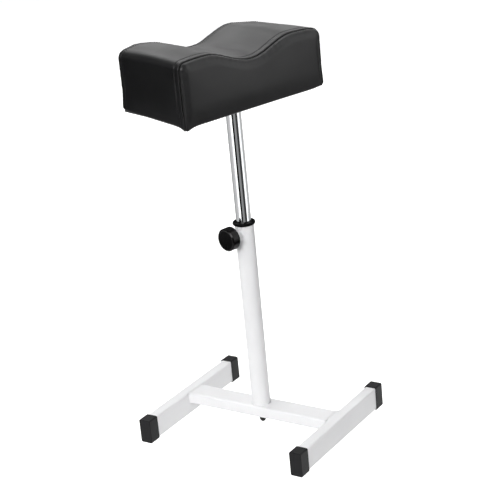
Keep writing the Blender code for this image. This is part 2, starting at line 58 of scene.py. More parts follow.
PAD_HEADING = radians(71.5)  # of the cushion's long axis, from the crossbar


def in_scene(name, data):
    """A new object in the scene."""
    made = bpy.data.objects.new(name, data)
    scene.collection.objects.link(made)
    return made


def around(steps):
    """Angles at even steps round a circle."""
    return np.linspace(0, 2 * pi, steps, endpoint=False)


# Camera: where the photograph was taken from

CAMERA_PLACE = (1.314223, -1.925654, 1.187896)
CAMERA_HEADING = radians(34.175)
CAMERA_TILT = radians(20.374)
CAMERA_ROLL = radians(-5.53)
CAMERA_LENS, SENSOR_WIDE = 107.481, 36
CAMERA_REACH = 60

back = Vector((sin(CAMERA_HEADING) * cos(CAMERA_TILT), -cos(CAMERA_HEADING) * cos(CAMERA_TILT),
               sin(CAMERA_TILT)))
right = Vector((cos(CAMERA_HEADING), sin(CAMERA_HEADING), 0))
upright = Matrix((right, back.cross(right), back)).transposed()
rolled = upright @ Matrix.Rotation(CAMERA_ROLL, 3, "Z")
camera = in_scene("camera", bpy.data.cameras.new("camera"))
camera.data.sensor_fit = "HORIZONTAL"
camera.data.sensor_width = SENSOR_WIDE
camera.data.lens = CAMERA_LENS
camera.data.clip_end = CAMERA_REACH
camera.matrix_world = Matrix.Translation(CAMERA_PLACE) @ rolled.to_4x4()
scene.camera = camera


# Finishes

def colour(code):
    """Linear colour of an sRGB hex value."""
    part = np.array([int(code[i:i + 2], 16) for i in (1, 3, 5)]) / 255
    return (*np.where(part <= 0.04045, part / 12.92, ((part + 0.055) / 1.055) ** 2.4), 1.0)


def connect(tree, node, inputs):
    """Fills a node's sockets: a value is set, another node's output is linked."""
    for key, value in inputs.items():
        if isinstance(value, bpy.types.NodeSocket):
            tree.links.new(value, node.inputs[key])
        else:
            node.inputs[key].default_value = value


def add(tree, kind, inputs=None, out=0, **settings):
    """Adds a node with its settings and inputs, by socket, and gives one of its outputs."""
    made = tree.nodes.new("ShaderNode" + kind)
    for key, value in settings.items():
        setattr(made, key, value)
    connect(tree, made, inputs or {})
    return made.outputs[out]


def finish(name, **sockets):
    """A new material with steady values on its main shader's sockets; gives it, its tree and its shader."""
    material = bpy.data.materials.new(name)
    material.use_nodes = True
    shader = material.node_tree.nodes["Principled BSDF"]
    for key, value in sockets.items():
        shader.inputs[key.replace("_", " ").title().replace("Ior", "IOR")].default_value = value
    return material, material.node_tree, shader


def grain(size):
    """Scale of a pattern whose marks are size mm across."""
    return 1 / (size * MM)


def mottled(name, size, detail, tones, gloss, distortion=0.0, **sockets):
    """A material whose colour and roughness drift together, from one tone and roughness to the other, with a
    noise whose marks are size mm across. Gives it, its tree, its shader, its coordinates and the noise."""
    material, tree, shader = finish(name, **sockets)
    place = add(tree, "TexCoord", out="Object")
    marks = {"Vector": place, "Scale": grain(size), "Detail": detail, "Distortion": distortion}
    noise = add(tree, "TexNoise", marks)
    tone = add(tree, "Mix", {0: noise, 6: colour(tones[0]), 7: colour(tones[1])}, out=2, data_type="RGBA")
    rough = add(tree, "MapRange", {"Value": noise, 3: gloss[0], 4: gloss[1]})
    connect(tree, shader, {"Base Color": tone, "Roughness": rough})
    return material, tree, shader, place, noise


def white_powder_coat():
    """Baked powder paint on steel: even white, satin, with a faint orange peel and a few duller clouds."""
    material, tree, shader, place, _ = mottled("white_powder_coat", 90, 3.0, ("#E9E9EA", "#E1E1E3"),
                                               (0.34, 0.46), ior=1.5)
    # Real peel is about 1.5 mm; it is drawn at 2.5 mm so that it shows at all.
    peel = add(tree, "TexNoise", {"Vector": place, "Scale": grain(2.5), "Detail": 1.0})
    bump = add(tree, "Bump", {"Height": peel, "Strength": 0.12, "Distance": 0.0002})
    connect(tree, shader, {"Normal": bump})
    return material


def chrome_plate():
    """Bright chrome on steel tube: a clear mirror with faint polishing lines that run along the tube."""
    material, tree, shader = finish("chrome_plate", base_color=colour("#EEF0F2"), metallic=1.0)
    place = add(tree, "TexCoord", out="Object")
    along = add(tree, "Mapping", {"Vector": place, "Scale": (1, 1, 0.02)})
    lines = add(tree, "TexNoise", {"Vector": along, "Scale": grain(1.2), "Detail": 3.0})
    gloss = add(tree, "MapRange", {"Value": lines, 3: 0.025, 4: 0.09})
    bump = add(tree, "Bump", {"Height": lines, "Strength": 0.02, "Distance": 0.0001})
    connect(tree, shader, {"Roughness": gloss, "Normal": bump})
    return material


def moulded_black():
    """Moulded polypropylene: satin black, a fine eroded grain, and rubbed patches with more shine."""
    material, tree, shader, place, _ = mottled("moulded_black", 14, 4.0, ("#111112", "#171719"), (0.36, 0.54),
                                               ior=1.49, specular_ior_level=0.13)
    # The mould's grain is about 0.3 mm; it is drawn at 0.8 mm so that it shows.
    pits = add(tree, "TexNoise", {"Vector": place, "Scale": grain(0.8), "Detail": 2.0})
    bump = add(tree, "Bump", {"Height": pits, "Strength": 0.25, "Distance": 0.0002})
    connect(tree, shader, {"Normal": bump})
    return material


def polished_black():
    """Moulded phenolic, buffed: near black, smooth, with a clear highlight along its edges and faint marks of
    handling."""
    return mottled("polished_black", 7, 4.0, ("#060606", "#0C0C0D"), (0.13, 0.22),
                   ior=1.5, specular_ior_level=0.09)[0]


def gloss_black():
    """Polished acetal: deep glossy black with sharp highlights and faint patches rubbed a little duller."""
    return mottled("gloss_black", 5, 5.0, ("#050505", "#101011"), (0.10, 0.22),
                   ior=1.48, specular_ior_level=0.03)[0]


def blackened_steel():
    """Oxide-blackened steel: dark metal, half dull, with slightly browner thin spots."""
    return mottled("blackened_steel", 3, 4.0, ("#151516", "#2E2B29"), (0.28, 0.50), metallic=1.0)[0]


def zinc_plate():
    """Bright zinc on steel: cool grey metal, softly clouded by its clear passivation."""
    return mottled("zinc_plate", 4, 4.0, ("#C4C8CE", "#B9B8AE"), (0.24, 0.42), metallic=1.0)[0]


def natural_nylon():
    """Undyed nylon: milky cream, waxy, with a cloudy depth."""
    return mottled("natural_nylon", 6, 3.0, ("#E8E4D8", "#DCD6C4"), (0.36, 0.52),
                   ior=1.53, subsurface_weight=0.25, subsurface_scale=0.002)[0]


def birch_plywood():
    """Birch plywood: pale long grain on the faces, and light and dark plies of 1.5 mm on the edges."""
    material, tree, shader = finish("birch_plywood", roughness=0.62, ior=1.5)
    place = add(tree, "TexCoord", out="Object")
    lengthways = {"Vector": place, "Rotation": (0, 0, -PAD_HEADING), "Scale": (0.08, 1, 1)}
    laid = add(tree, "Mapping", lengthways)
    fibre = add(tree, "TexNoise", {"Vector": laid, "Scale": grain(4), "Detail": 6.0})
    plies = add(tree, "TexWave", {"Vector": place, "Scale": grain(3) / pi * 0.5, "Distortion": 0.4},
                out="Fac", wave_type="BANDS", bands_direction="Z", wave_profile="SIN")
    wood = add(tree, "Mix", {0: fibre, 6: colour("#D9BE93"), 7: colour("#BE9A66")}, out=2, data_type="RGBA")
    tone = add(tree, "Mix", {0: plies, 6: wood, 7: colour("#A98353")}, out=2, data_type="RGBA")
    bump = add(tree, "Bump", {"Height": fibre, "Strength": 0.2, "Distance": 0.0003})
    connect(tree, shader, {"Base Color": tone, "Normal": bump})
    return material


def black_leatherette():
    """Coated fabric, pressed with a fine hide grain: black, a broad soft sheen, duller in worn patches."""
    material, tree, shader = finish("black_leatherette", ior=1.5, specular_ior_level=0.225)
    place = add(tree, "TexCoord", out="Object")
    wear = add(tree, "TexNoise", {"Vector": place, "Scale": grain(45), "Detail": 4.0})
    bare_tone = add(tree, "Mix", {0: wear, 6: colour("#0E0E0F"), 7: colour("#141415")},
                    out=2, data_type="RGBA")
    bare_gloss = add(tree, "MapRange", {"Value": wear, 3: 0.36, 4: 0.50})
    # Painted shade: along the seam's groove the colour is darkened and the gloss dulled, for the shade that
    # falls in it.
    seam_shade = add(tree, "Attribute", out="Fac", attribute_name="painted_seam_shade")
    tone = add(tree, "Mix", {0: seam_shade, 6: bare_tone, 7: colour("#020202")}, out=2, data_type="RGBA")
    gloss = add(tree, "Mix", {0: seam_shade, 2: bare_gloss, 3: 1.0}, data_type="FLOAT")
    # The pressed grain is about 1 mm; it is drawn at 1.6 mm so that it shows.
    cells = add(tree, "TexVoronoi", {"Vector": place, "Scale": grain(1.6), "Smoothness": 0.6},
                feature="SMOOTH_F1")
    bump = add(tree, "Bump", {"Height": cells, "Strength": 0.10, "Distance": 0.0004}, invert=True)
    connect(tree, shader, {"Base Color": tone, "Roughness": gloss, "Normal": bump})
    return material


def black_thread():
    """Bonded polyester thread: black, its twist drawn in fine slanting lines of gloss and painted highlight.
    """
    material, tree, shader = finish("black_thread", ior=1.5, specular_ior_level=0.2, sheen_weight=0.05)
    place = add(tree, "TexCoord", out="Object")
    twist_highlight = add(tree, "TexWave", {"Vector": place, "Scale": grain(1.0) / pi * 0.5},
                out="Fac", bands_direction="DIAGONAL")
    # The lighter tone along the twist's lines is a painted highlight.
    tone = add(tree, "Mix", {0: twist_highlight, 6: colour("#0E0E0F"), 7: colour("#1E1E20")}, out=2, data_type="RGBA")
    gloss = add(tree, "MapRange", {"Value": twist_highlight, 3: 0.45, 4: 0.65})
    connect(tree, shader, {"Base Color": tone, "Roughness": gloss})
    return material


def black_felt():
    """Pressed polypropylene felt: dull black with a tangle of short fibres and a little lint."""
    material, tree, shader, _, fibre = mottled("black_felt", 0.9, 6.0, ("#121213", "#2C2C2E"), (0.80, 0.98),
                                               distortion=2.5, ior=1.5, sheen_weight=0.3, sheen_roughness=0.6)
    bump = add(tree, "Bump", {"Height": fibre, "Strength": 0.6, "Distance": 0.0003})
    connect(tree, shader, {"Normal": bump})
    return material


PAINT = white_powder_coat()
CHROME = chrome_plate()
PLASTIC = moulded_black()
KNOB = polished_black()
GLOSS = gloss_black()
BLACKENED = blackened_steel()
ZINC = zinc_plate()
NYLON = natural_nylon()
PLYWOOD = birch_plywood()
LEATHER = black_leatherette()
THREAD = black_thread()
FELT = black_felt()


# Surfaces

MERGE = 2e-6  # points of a mesh closer than this, in metres, become one


def quads(rows, columns, close_rows, close_columns):
    """Corners of a grid's faces. A closed way joins its last line of points to its first."""
    spot = np.arange(rows * columns).reshape(rows, columns)
    if close_rows:
        spot = np.vstack([spot, spot[:1]])
    if close_columns:
        spot = np.hstack([spot, spot[:, :1]])
    return np.stack([spot[:-1, :-1], spot[1:, :-1], spot[1:, 1:], spot[:-1, 1:]], -1).reshape(-1, 4)


def mesh_of(name, grids, marks=None):
    """One mesh from grids (points in mm, closed by rows, closed by columns); shared edges and poles merge.

    Marks are values for the points, kept as attributes that a finish may read."""
    starts = np.cumsum([0] + [grid.shape[0] * grid.shape[1] for grid, _, _ in grids])
    points = np.concatenate([grid.reshape(-1, 3) for grid, _, _ in grids]) * MM
    faces = [quads(*grid.shape[:2], *closed) + start for (grid, *closed), start in zip(grids, starts)]
    mesh = bpy.data.meshes.new(name)
    mesh.from_pydata(points.tolist(), [], np.concatenate(faces).tolist())
    for mark, values in (marks or {}).items():
        mesh.attributes.new(mark, "FLOAT", "POINT").data.foreach_set("value", values)
    work = bmesh.new()
    work.from_mesh(mesh)
    bmesh.ops.remove_doubles(work, verts=work.verts, dist=MERGE)
    bmesh.ops.recalc_face_normals(work, faces=work.faces)
    work.to_mesh(mesh)
    work.free()
    mesh.shade_smooth()
    return mesh


def piece(name, body, material, grids, stands_for=(), crisp=True, marks=None):
    """A finished piece that rides a body. A crisp one keeps its flat faces flat beside rounded edges."""
    made = in_scene(name, mesh_of(name, grids, marks))
    made.data.materials.append(material)
    if crisp:
        made.modifiers.new("flat faces", "WEIGHTED_NORMAL").keep_sharp = True
    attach(made, body)
    if stands_for:
        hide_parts(*stands_for)
    return made


def span(node):
    """Lowest and highest corner of a CAD node, in mm."""
    low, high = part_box(node)
    return np.array(low) / MM, np.array(high) / MM


def lengths(path):
    """Length along a path from its start to each of its points."""
    return np.concatenate([[0], np.cumsum(np.linalg.norm(np.diff(path, axis=0), axis=1))])


def along_path(at, path):
    """Points at given lengths along a path, straight between its own points."""
    return np.stack([np.interp(at, lengths(path), column) for column in path.T], -1)


def smooth(value):
    """Rises from 0 to 1 as value does, level at both ends: 3 v squared - 2 v cubed."""
    value = np.clip(value, 0, 1)
    return value * value * (3 - 2 * value)


def bulge(value):
    """Rises from 0 to 1 as value does, steep at first and level at the end: 1 - (1 - v) squared."""
    return 1 - (1 - np.clip(value, 0, 1)) ** 2


def hill(value, width):
    """A hill of height 1 at 0 that fades to both sides: e to the minus (value / width) squared."""
    return np.exp(-(value / width) ** 2)


def rounded(corners, radius, steps=5, closed=False):
    """A path whose corners are arcs: each touches both its corner's sides and turns evenly between them."""
    spot = np.asarray(corners, float)
    if closed:
        spot = np.vstack([spot[-1:], spot, spot[:1]])
    before, corner, after = spot[:-2], spot[1:-1], spot[2:]
    radius = np.broadcast_to(np.asarray(radius, float), len(corner))[:, None]
    one = (before - corner) / np.linalg.norm(before - corner, axis=1, keepdims=True)
    two = (after - corner) / np.linalg.norm(after - corner, axis=1, keepdims=True)
    half = np.arccos(np.clip((one * two).sum(1, keepdims=True), -1, 1)) / 2
    middle = (one + two) / np.maximum(np.linalg.norm(one + two, axis=1, keepdims=True), 1e-9)
    centre = corner + middle * radius / np.sin(half)
    start = corner + one * radius / np.tan(half) - centre
    end = corner + two * radius / np.tan(half) - centre
    turn = np.maximum(pi - 2 * half, 1e-6)[:, None]
    share = np.linspace(0, 1, steps + 1)[None, :, None]
    swept = np.sin((1 - share) * turn) * start[:, None] + np.sin(share * turn) * end[:, None]
    path = (centre[:, None] + swept / np.sin(turn)).reshape(-1, 2)
    return path if closed else np.vstack([spot[:1], path, spot[-1:]])


def turned(profile, axis=(0, 0, 1), place=(0, 0, 0), steps=96):
    """Points (radius, height) carried round an axis: place + height axis + radius (cos one + sin other)."""
    axis = np.asarray(axis, float)
    one = np.cross(axis, (0, 0, 1) if abs(axis[2]) < 0.9 else (0, 1, 0))
    one /= np.linalg.norm(one)
    angle = around(steps)
    ring = np.cos(angle)[:, None] * one + np.sin(angle)[:, None] * np.cross(axis, one)
    radius, height = np.asarray(profile, float).T
    return np.asarray(place) + height[:, None, None] * axis + radius[:, None, None] * ring


def boxed(half_wide, half_tall, corner, depth, steps=6):
    """Rounded rectangles, a row each at a depth: arcs about (half_wide - corner, half_tall - corner)."""
    angle = (np.arange(4)[:, None] * pi / 2 + np.linspace(0, pi / 2, steps + 1)).ravel()
    wide, tall, corner, depth = (np.asarray(x, float)[:, None] for x in (half_wide, half_tall, corner, depth))
    across = (wide - corner) * np.repeat([1, -1, -1, 1], steps + 1) + corner * np.cos(angle)
    up = (tall - corner) * np.repeat([1, 1, -1, -1], steps + 1) + corner * np.sin(angle)
    return across, up, depth + 0 * across


def six_sided(across_flats, angle):
    """Radius of a hexagon at an angle: half the width over the cosine of the way to the nearest flat."""
    return across_flats / 2 / np.cos((angle + pi / 6) % (pi / 3) - pi / 6)


def rings(values, angle):
    """Rows of one value each, as many values long as there are angles."""
    return np.array(values, float)[:, None] + 0 * angle


def bore(radius, low, high):
    """Profile of a solid drill: out from the axis, up along the radius and back to the axis."""
    return [(0, low), (radius, low), (radius, high), (0, high)]


def drilled(made, *holes):
    """Takes closed turned shapes out of a piece, for round holes in its wall."""
    for hole in holes:
        tool = in_scene("drill", mesh_of("drill", [(turned(*hole), False, True)]))
        cut = made.modifiers.new("hole", "BOOLEAN")
        cut.operation, cut.solver, cut.object = "DIFFERENCE", "EXACT", tool
        with_hole = bpy.data.meshes.new_from_object(made.evaluated_get(bpy.context.evaluated_depsgraph_get()))
        made.modifiers.remove(cut)
        made.data = with_hole
        bpy.data.objects.remove(tool)


# Base

TUBE_WIDE, TUBE_TALL, TUBE_WALL, TUBE_CORNER = 20.0, 40.0, 1.5, 3.0
POST_HOLE, FOOT_HOLE = 16.5, 4.25
DRILL_IN, DRILL_OUT = 8.0, 5.0
JOINT_GAP = 0.3
WELD_TALL, WELD_FLUSH = 3.4, 0.5
# A weld's profile: height off the bar, and distance along the bar from the leg.
WELD_FOOT = np.array([[-0.6, 4.2], [0.05, 4.2], [0.3, 2.2], [0.9, 0.9], [2.2, 0.3], [3.6, 0.02], [3.6, -0.6]])
CAP_WALL, CAP_FLOOR, CAP_CORNER, CAP_EDGE, CAP_FACE = 1.0, 2.0, 2.6, 0.9, 3.0
CAP_LIP, CAP_LIP_INNER, CAP_LIP_OUTER = 0.25, 0.4, 0.3


def square_tube(half_wide, half_tall, start, end):
    """A rounded rectangle carried straight from start to end, and its smaller copy carried back inside it."""
    inner = TUBE_WALL
    return boxed([half_wide] * 2 + [half_wide - inner] * 2, [half_tall] * 2 + [half_tall - inner] * 2,
                 [TUBE_CORNER] * 2 + [TUBE_CORNER - inner] * 2, [start, end, end, start], steps=8)


for leg in ("left_leg", "right_leg"):
    low, high = span(leg)
    across, up, depth = square_tube(TUBE_WIDE / 2, TUBE_TALL / 2, low[1], high[1])
    middle = (low + high) / 2
    tube = np.stack([middle[0] + across, depth, middle[2] + up], -1)
    piece(leg + "_tube", "base", PAINT, [(tube, True, True)], [leg])

bar_low, bar_high = span("crossbar")
bar_level = (bar_low + bar_high)[2] / 2
joint_place = bar_high[0] + JOINT_GAP
across, up, depth = square_tube(TUBE_TALL / 2, TUBE_WIDE / 2, bar_low[0], bar_high[0])
tube = np.stack([depth, across, bar_level + up], -1)
bar = piece("cross_tube", "base", PAINT, [(tube, True, True)], ["crossbar"])
drilled(bar, [bore(POST_HOLE, bar_high[2] - DRILL_IN, bar_high[2] + DRILL_OUT)],
        [bore(FOOT_HOLE, bar_low[2] - DRILL_OUT, bar_low[2] + DRILL_IN)])


def weld(side):
    """A concave fillet carried round the bar's end: low along the flush top, full elsewhere."""
    across, up, _ = boxed([TUBE_TALL / 2], [TUBE_WIDE / 2], [TUBE_CORNER], [0], steps=8)
    out_y, out_z = np.gradient(up[0]), -np.gradient(across[0])
    size = np.hypot(out_y, out_z)
    out_y, out_z = out_y / size, out_z / size
    ripple = 1 + 0.08 * np.sin(np.arange(len(out_y)) * 2.1)
    tall = np.where(out_z > 0.5, WELD_FLUSH, WELD_TALL) * ripple
    lift, reach = WELD_FOOT[:, 0, None], WELD_FOOT[:, 1, None]
    lift = np.where(lift > 0, lift / lift.max() * tall, lift)
    return np.stack([side * joint_place - side * reach + 0 * lift, across[0] + out_y * lift,
                     bar_level + up[0] + out_z * lift], -1)


def groove_bead(side):
    """A bead laid in the groove between the bar's flush top and a leg's rounded corner: an oval carried along
    the joint, drawn to a point at both ends."""
    along = np.linspace(-1, 1, 61)[:, None]
    turn = around(16)
    size = np.sqrt(1 - along ** 8) * (1 + 0.03 * np.sin(along * 47))
    across = joint_place + TUBE_CORNER * (0.42 + 0.78 * np.cos(turn) * size)
    up = bar_high[2] - TUBE_CORNER * (0.36 - 0.42 * np.sin(turn) * size)
    return np.stack([side * across, along * (TUBE_TALL / 2 - TUBE_CORNER / 2) + 0 * turn, up], -1)


for name, side in (("left_weld", -1), ("right_weld", 1)):
    beads = [(weld(side), True, True), (groove_bead(side), False, True)]
    piece(name, "base", PAINT, beads, crisp=False)


def cap_sleeve(node):
    """Rounded rectangles from the middle of the inner floor, out over the lip and along the walls, round the
    edge by a quarter turn and to the middle of the end face."""
    low, high = span(node)
    middle = (low + high) / 2
    wide, long, tall = (high - low) / (2, 1, 2)
    turn = np.linspace(0, pi / 2, 6)
    inset = np.concatenate([[wide, CAP_WALL, CAP_WALL, CAP_WALL / 2 + CAP_LIP, CAP_LIP, 0, 0],
                            CAP_EDGE * (1 - np.cos(turn)), [CAP_FACE, wide]])
    walls = [CAP_FLOOR, CAP_FLOOR, long - CAP_LIP_INNER, long, long, long - CAP_LIP_OUTER, long / 2]
    depth = np.concatenate([walls, CAP_EDGE * (1 - np.sin(turn)), [0, 0]])
    corner = np.clip(CAP_CORNER - inset, 0, None) * (inset < wide)
    across, up, depth = boxed(wide - inset, np.where(inset < wide, tall - inset, 0), corner, depth)
    end = low[1] if middle[1] < 0 else high[1]
    return np.stack([middle[0] + across, end - np.sign(middle[1]) * depth, middle[2] + up], -1)


for name in ("front_left_cap", "front_right_cap", "rear_left_cap", "rear_right_cap"):
    piece(name + "_sleeve", "base", PLASTIC, [(cap_sleeve(name), False, True)], [name])

# Post, bush and screw clamp

CLAMP = next(joint for joint in frame["joints"] if joint["name"] == "knob_turn")
OUT = np.array(CLAMP["axis"], float)
ASIDE = np.array([-OUT[1], OUT[0], 0])
CLAMP_PLACE = np.array(CLAMP["pos_m"], float) / MM
POST_RADIUS, POST_WALL, POST_EDGE = 16.0, 1.5, 0.4
STUD_HOLE, STUD_HOLE_REACH = 4.3, (8, 22)
MAST_RADIUS, MAST_WALL, MAST_EDGE = 12.5, 1.2, 0.3
RING_BORE, RING_SKIRT, RING_FLANGE, RING_TALL, RING_CONE = 12.75, 14.3, 19.0, 6.0, 1.4
RING_EDGES = [0.2, 0.9, 2.6, 1.9, 0.2, 0.2]
NUT_FLATS, NUT_END, NUT_TURN, NUT_BORE, NUT_SEAT = 16.5, 24.8, pi / 6, 4.25, 0.1
NUT_CONE_START, NUT_CONE_MIDDLE, NUT_SINK = 1.3, 0.6, 0.5  # back from the nut's front face
NUT_CONE_RADIUS, NUT_FACE_RADIUS = NUT_FLATS * 0.54, NUT_FLATS / 2 * 0.97
NUT_BEAD, NUT_RIPPLE = 0.8, 0.06
KNOB_RADIUS, KNOB_BACK, KNOB_FACE, HUB_RADIUS, HUB_BACK = 19.5, 28.5, 44.5, 9.0, 26.0
KNOB_BEVEL, KNOB_RIM, KNOB_DISH = 2.0, 3.5, 0.6
STUD_BORE, STUD_BORE_END = 4.2, 38.2
KNOB_EDGES = [0.2, 0.2, 0.5, 0.6, 1.0, 1.0, 0.9, 0.5]
DOME_FLATS, DOME_TALL, DOME_RADIUS, DOME_BORE, DOME_BORE_DEEP = 13.0, 6.5, 6.0, 4.2, 9.0
DOME_TOP_RADIUS, DOME_WAIST_RADIUS, DOME_CHAMFER = 6.4, 6.3, 0.6


def tube_wall(node, radius, wall, edge):
    """Profile of a round tube's wall as high as its CAD node, with small rounded edges."""
    low, high = span(node)
    corners = [(radius, low[2]), (radius, high[2]), (radius - wall, high[2]), (radius - wall, low[2])]
    return rounded(corners, edge, closed=True)


wall = tube_wall("post_tube", POST_RADIUS, POST_WALL, POST_EDGE)
post = piece("post", "base", PAINT, [(turned(wall), True, True)], ["post_tube"])
drilled(post, [bore(STUD_HOLE, *STUD_HOLE_REACH), OUT, CLAMP_PLACE])

low, high = span("guide_bush")
ring = [(RING_BORE, low[2]), (RING_BORE, high[2] - RING_CONE), (RING_FLANGE, high[2]),
        (RING_FLANGE, high[2] - RING_TALL), (RING_SKIRT, high[2] - RING_TALL), (RING_SKIRT, low[2])]
piece("guide_ring", "base", GLOSS,
      [(turned(rounded(ring, RING_EDGES, 8, closed=True)), True, True)], ["guide_bush"])

wall = tube_wall("mast_tube", MAST_RADIUS, MAST_WALL, MAST_EDGE)
piece("mast", "mast", CHROME, [(turned(wall, steps=128), True, True)], ["mast_tube"])


def on_clamp(radius, angle, rise):
    """Points about the clamp's axis: place + rise out + radius (cos aside + sin up)."""
    return (CLAMP_PLACE + rise[..., None] * OUT + (radius * np.cos(angle))[..., None] * ASIDE
            + (radius * np.sin(angle))[..., None] * UP)


def clamp_nut():
    """A hexagon carried out from the post: its foot follows the post's curve, its front edge is turned to a
    cone."""
    angle = around(144)
    flats = six_sided(NUT_FLATS, angle + NUT_TURN)
    cone, face = np.minimum(flats, NUT_CONE_RADIUS), np.minimum(flats, NUT_FACE_RADIUS)
    hole = NUT_BORE + 0 * angle
    radius = np.stack([hole, flats, flats, cone, face, hole, hole])
    foot = np.sqrt(POST_RADIUS ** 2 - (radius[:2] * np.cos(angle)) ** 2) + NUT_SEAT
    front = NUT_END - rings([NUT_CONE_START, NUT_CONE_MIDDLE, 0, 0, NUT_SINK], angle)
    return on_clamp(radius, angle, np.concatenate([foot, front]))


def nut_weld():
    """A thin rippled bead carried round the nut's foot along the post's curve."""
    angle = around(144)
    turn = around(12)[:, None]
    thick = NUT_BEAD + NUT_RIPPLE * np.sin(26 * angle)
    radius = six_sided(NUT_FLATS, angle + NUT_TURN) + thick * np.cos(turn)
    rise = np.sqrt(POST_RADIUS ** 2 - (radius * np.cos(angle)) ** 2) + thick * np.sin(turn)
    return on_clamp(radius, angle, rise)


piece("clamp_hexagon", "base", PAINT, [(clamp_nut(), True, True)], ["clamp_nut"])
piece("nut_weld", "base", PAINT, [(nut_weld(), True, True)], crisp=False)
grip = [(0, STUD_BORE_END), (STUD_BORE, STUD_BORE_END), (STUD_BORE, HUB_BACK), (HUB_RADIUS, HUB_BACK),
        (HUB_RADIUS, KNOB_BACK), (KNOB_RADIUS, KNOB_BACK), (KNOB_RADIUS, KNOB_FACE - KNOB_BEVEL),
        (KNOB_RADIUS - KNOB_BEVEL, KNOB_FACE), (KNOB_RADIUS - KNOB_RIM, KNOB_FACE - KNOB_DISH),
        (0, KNOB_FACE - KNOB_DISH)]
piece("knob_grip", "knob", KNOB,
      [(turned(rounded(grip, KNOB_EDGES, 6), OUT, CLAMP_PLACE, 128), False, True)], ["knob_body"])


def cap_nut():
    """A hexagon carried up and closed below by a dome: the radius is a hexagon's, then a sphere's."""
    low, high = span("foot_cap_nut")
    angle = around(96)
    turn = np.linspace(0, pi / 2, 12)[1:, None]
    flats = six_sided(DOME_FLATS, angle)
    top, waist = high[2], high[2] - DOME_TALL
    floor = top - DOME_BORE_DEEP
    sides = np.stack([np.minimum(flats, DOME_TOP_RADIUS), flats, flats, np.minimum(flats, DOME_WAIST_RADIUS)])
    radius = np.concatenate([rings([0, DOME_BORE, DOME_BORE], angle), sides,
                             DOME_RADIUS * np.cos(turn) + 0 * angle])
    levels = [floor, floor, top, top, top - DOME_CHAMFER, waist + DOME_CHAMFER, waist]
    height = np.concatenate([rings(levels, angle), waist - (waist - low[2]) * np.sin(turn) + 0 * angle])
    return np.stack([radius * np.cos(angle), radius * np.sin(angle), height], -1)


piece("dome_nut", "base", BLACKENED, [(cap_nut(), False, True)], ["foot_cap_nut"])

# Plate under the cushion

# The weld between mast and plate: radius, and height from the plate's underside.
MAST_BEAD = np.array([(12.3, -3.6), (12.75, -3.6), (13.2, -1.8), (14.4, -0.6), (16.2, -0.1), (16.2, 0.3),
                      (12.3, 0.3)])
SCREW_HEAD, SCREW_HEAD_TALL, SCREW_DOME_TALL = 6.0, 3.8, 2.6
SCREW_SHANK, SCREW_END, SCREW_CHAMFER = 3.0, 2.6, 0.5
SOCKET_FLATS, SOCKET_RIM, SOCKET_LEVELS = 4.0, 2.9, [2.2, 2.0, 0.15]

piece("mast_weld", "mast", PAINT,
      [(turned(MAST_BEAD + (0, span("mounting_plate")[0][2])), True, True)], crisp=False)


def button_screw(node):
    """A domed head turned about the screw's axis, a six-sided socket sunk in it, and a plain shank above."""
    low, high = span(node)
    middle = (low + high) / 2
    long = (high - low)[2]
    angle = around(72)
    socket = six_sided(SOCKET_FLATS, angle)
    turn = np.linspace(0.12, pi / 2, 9)[:, None]
    radius = np.concatenate([np.stack([0 * angle, socket * 0.96, socket]),
                             SOCKET_RIM + (SCREW_HEAD - SOCKET_RIM) * np.sin(turn) + 0 * angle,
                             rings([SCREW_HEAD, SCREW_SHANK, SCREW_SHANK, SCREW_END, 0], angle)])
    shank = [SCREW_HEAD_TALL, SCREW_HEAD_TALL, long - SCREW_CHAMFER, long, long]
    height = np.concatenate([rings(SOCKET_LEVELS, angle), SCREW_DOME_TALL * (1 - np.cos(turn)) + 0 * angle,
                             rings(shank, angle)])
    return np.stack([radius * np.cos(angle), radius * np.sin(angle), height], -1) + (*middle[:2], low[2])


for number in (1, 2, 3, 4):
    node = f"plate_screw_{number}"
    piece(f"button_screw_{number}", "mast", ZINC,
          [(button_screw(node), False, True)], [node])

# Cushion

PAD_PLACE = np.array([-13.0, 0.0, 582.0])
PAD_ALONG = np.array([cos(PAD_HEADING), sin(PAD_HEADING), 0])
PAD_ACROSS = np.array([-sin(PAD_HEADING), cos(PAD_HEADING), 0])
PAD_MIDDLE = np.array([0, 0, 40.0])
LONG, WIDE = 280.0, 160.0
HUMP, HUMP_PLACE, VALLEY, SHOULDER_DROP, SHOULDER = 100.0, 88.0, 77.5, 3.0, 14.0
BOARD_TOP, CROWN, DRAWN_IN, PANEL_PUFF = 13.5, 2.5, 2.0, 2.2
EDGE, EDGE_TIGHT, EDGE_OPENS, UNDER_EDGE = 9.0, 0.5, 30.0, 5.0
LIP, COVER_THICK, FILL_INSET, ROOF_GAP = 22.0, 1.2, 1.4, 0.4
SEAM_SHARE, BACK_SEAM_SHARE = 0.66, 0.32
# The second is how far, in mm, the painted shade in the seam's groove reaches to either side.
NEAR_SEAM, SEAM_SHADE_REACH = 9.0, 1.1
PANEL_ROLL, ROLL_REACH, SEAM_REACH = 3.2, 26.0, 19.0
CREASES, CREASE_BOWS = np.array([-21.0, -6.0, 9.0, 24.0]), np.array([3.0, -4.0, 5.0, -2.0])
STITCH_ROW, STITCH_PITCH, STITCH_LONG, STITCH_THICK, STITCH_PROUD = 11.0, 4.5, 3.4, 0.45, 0.22
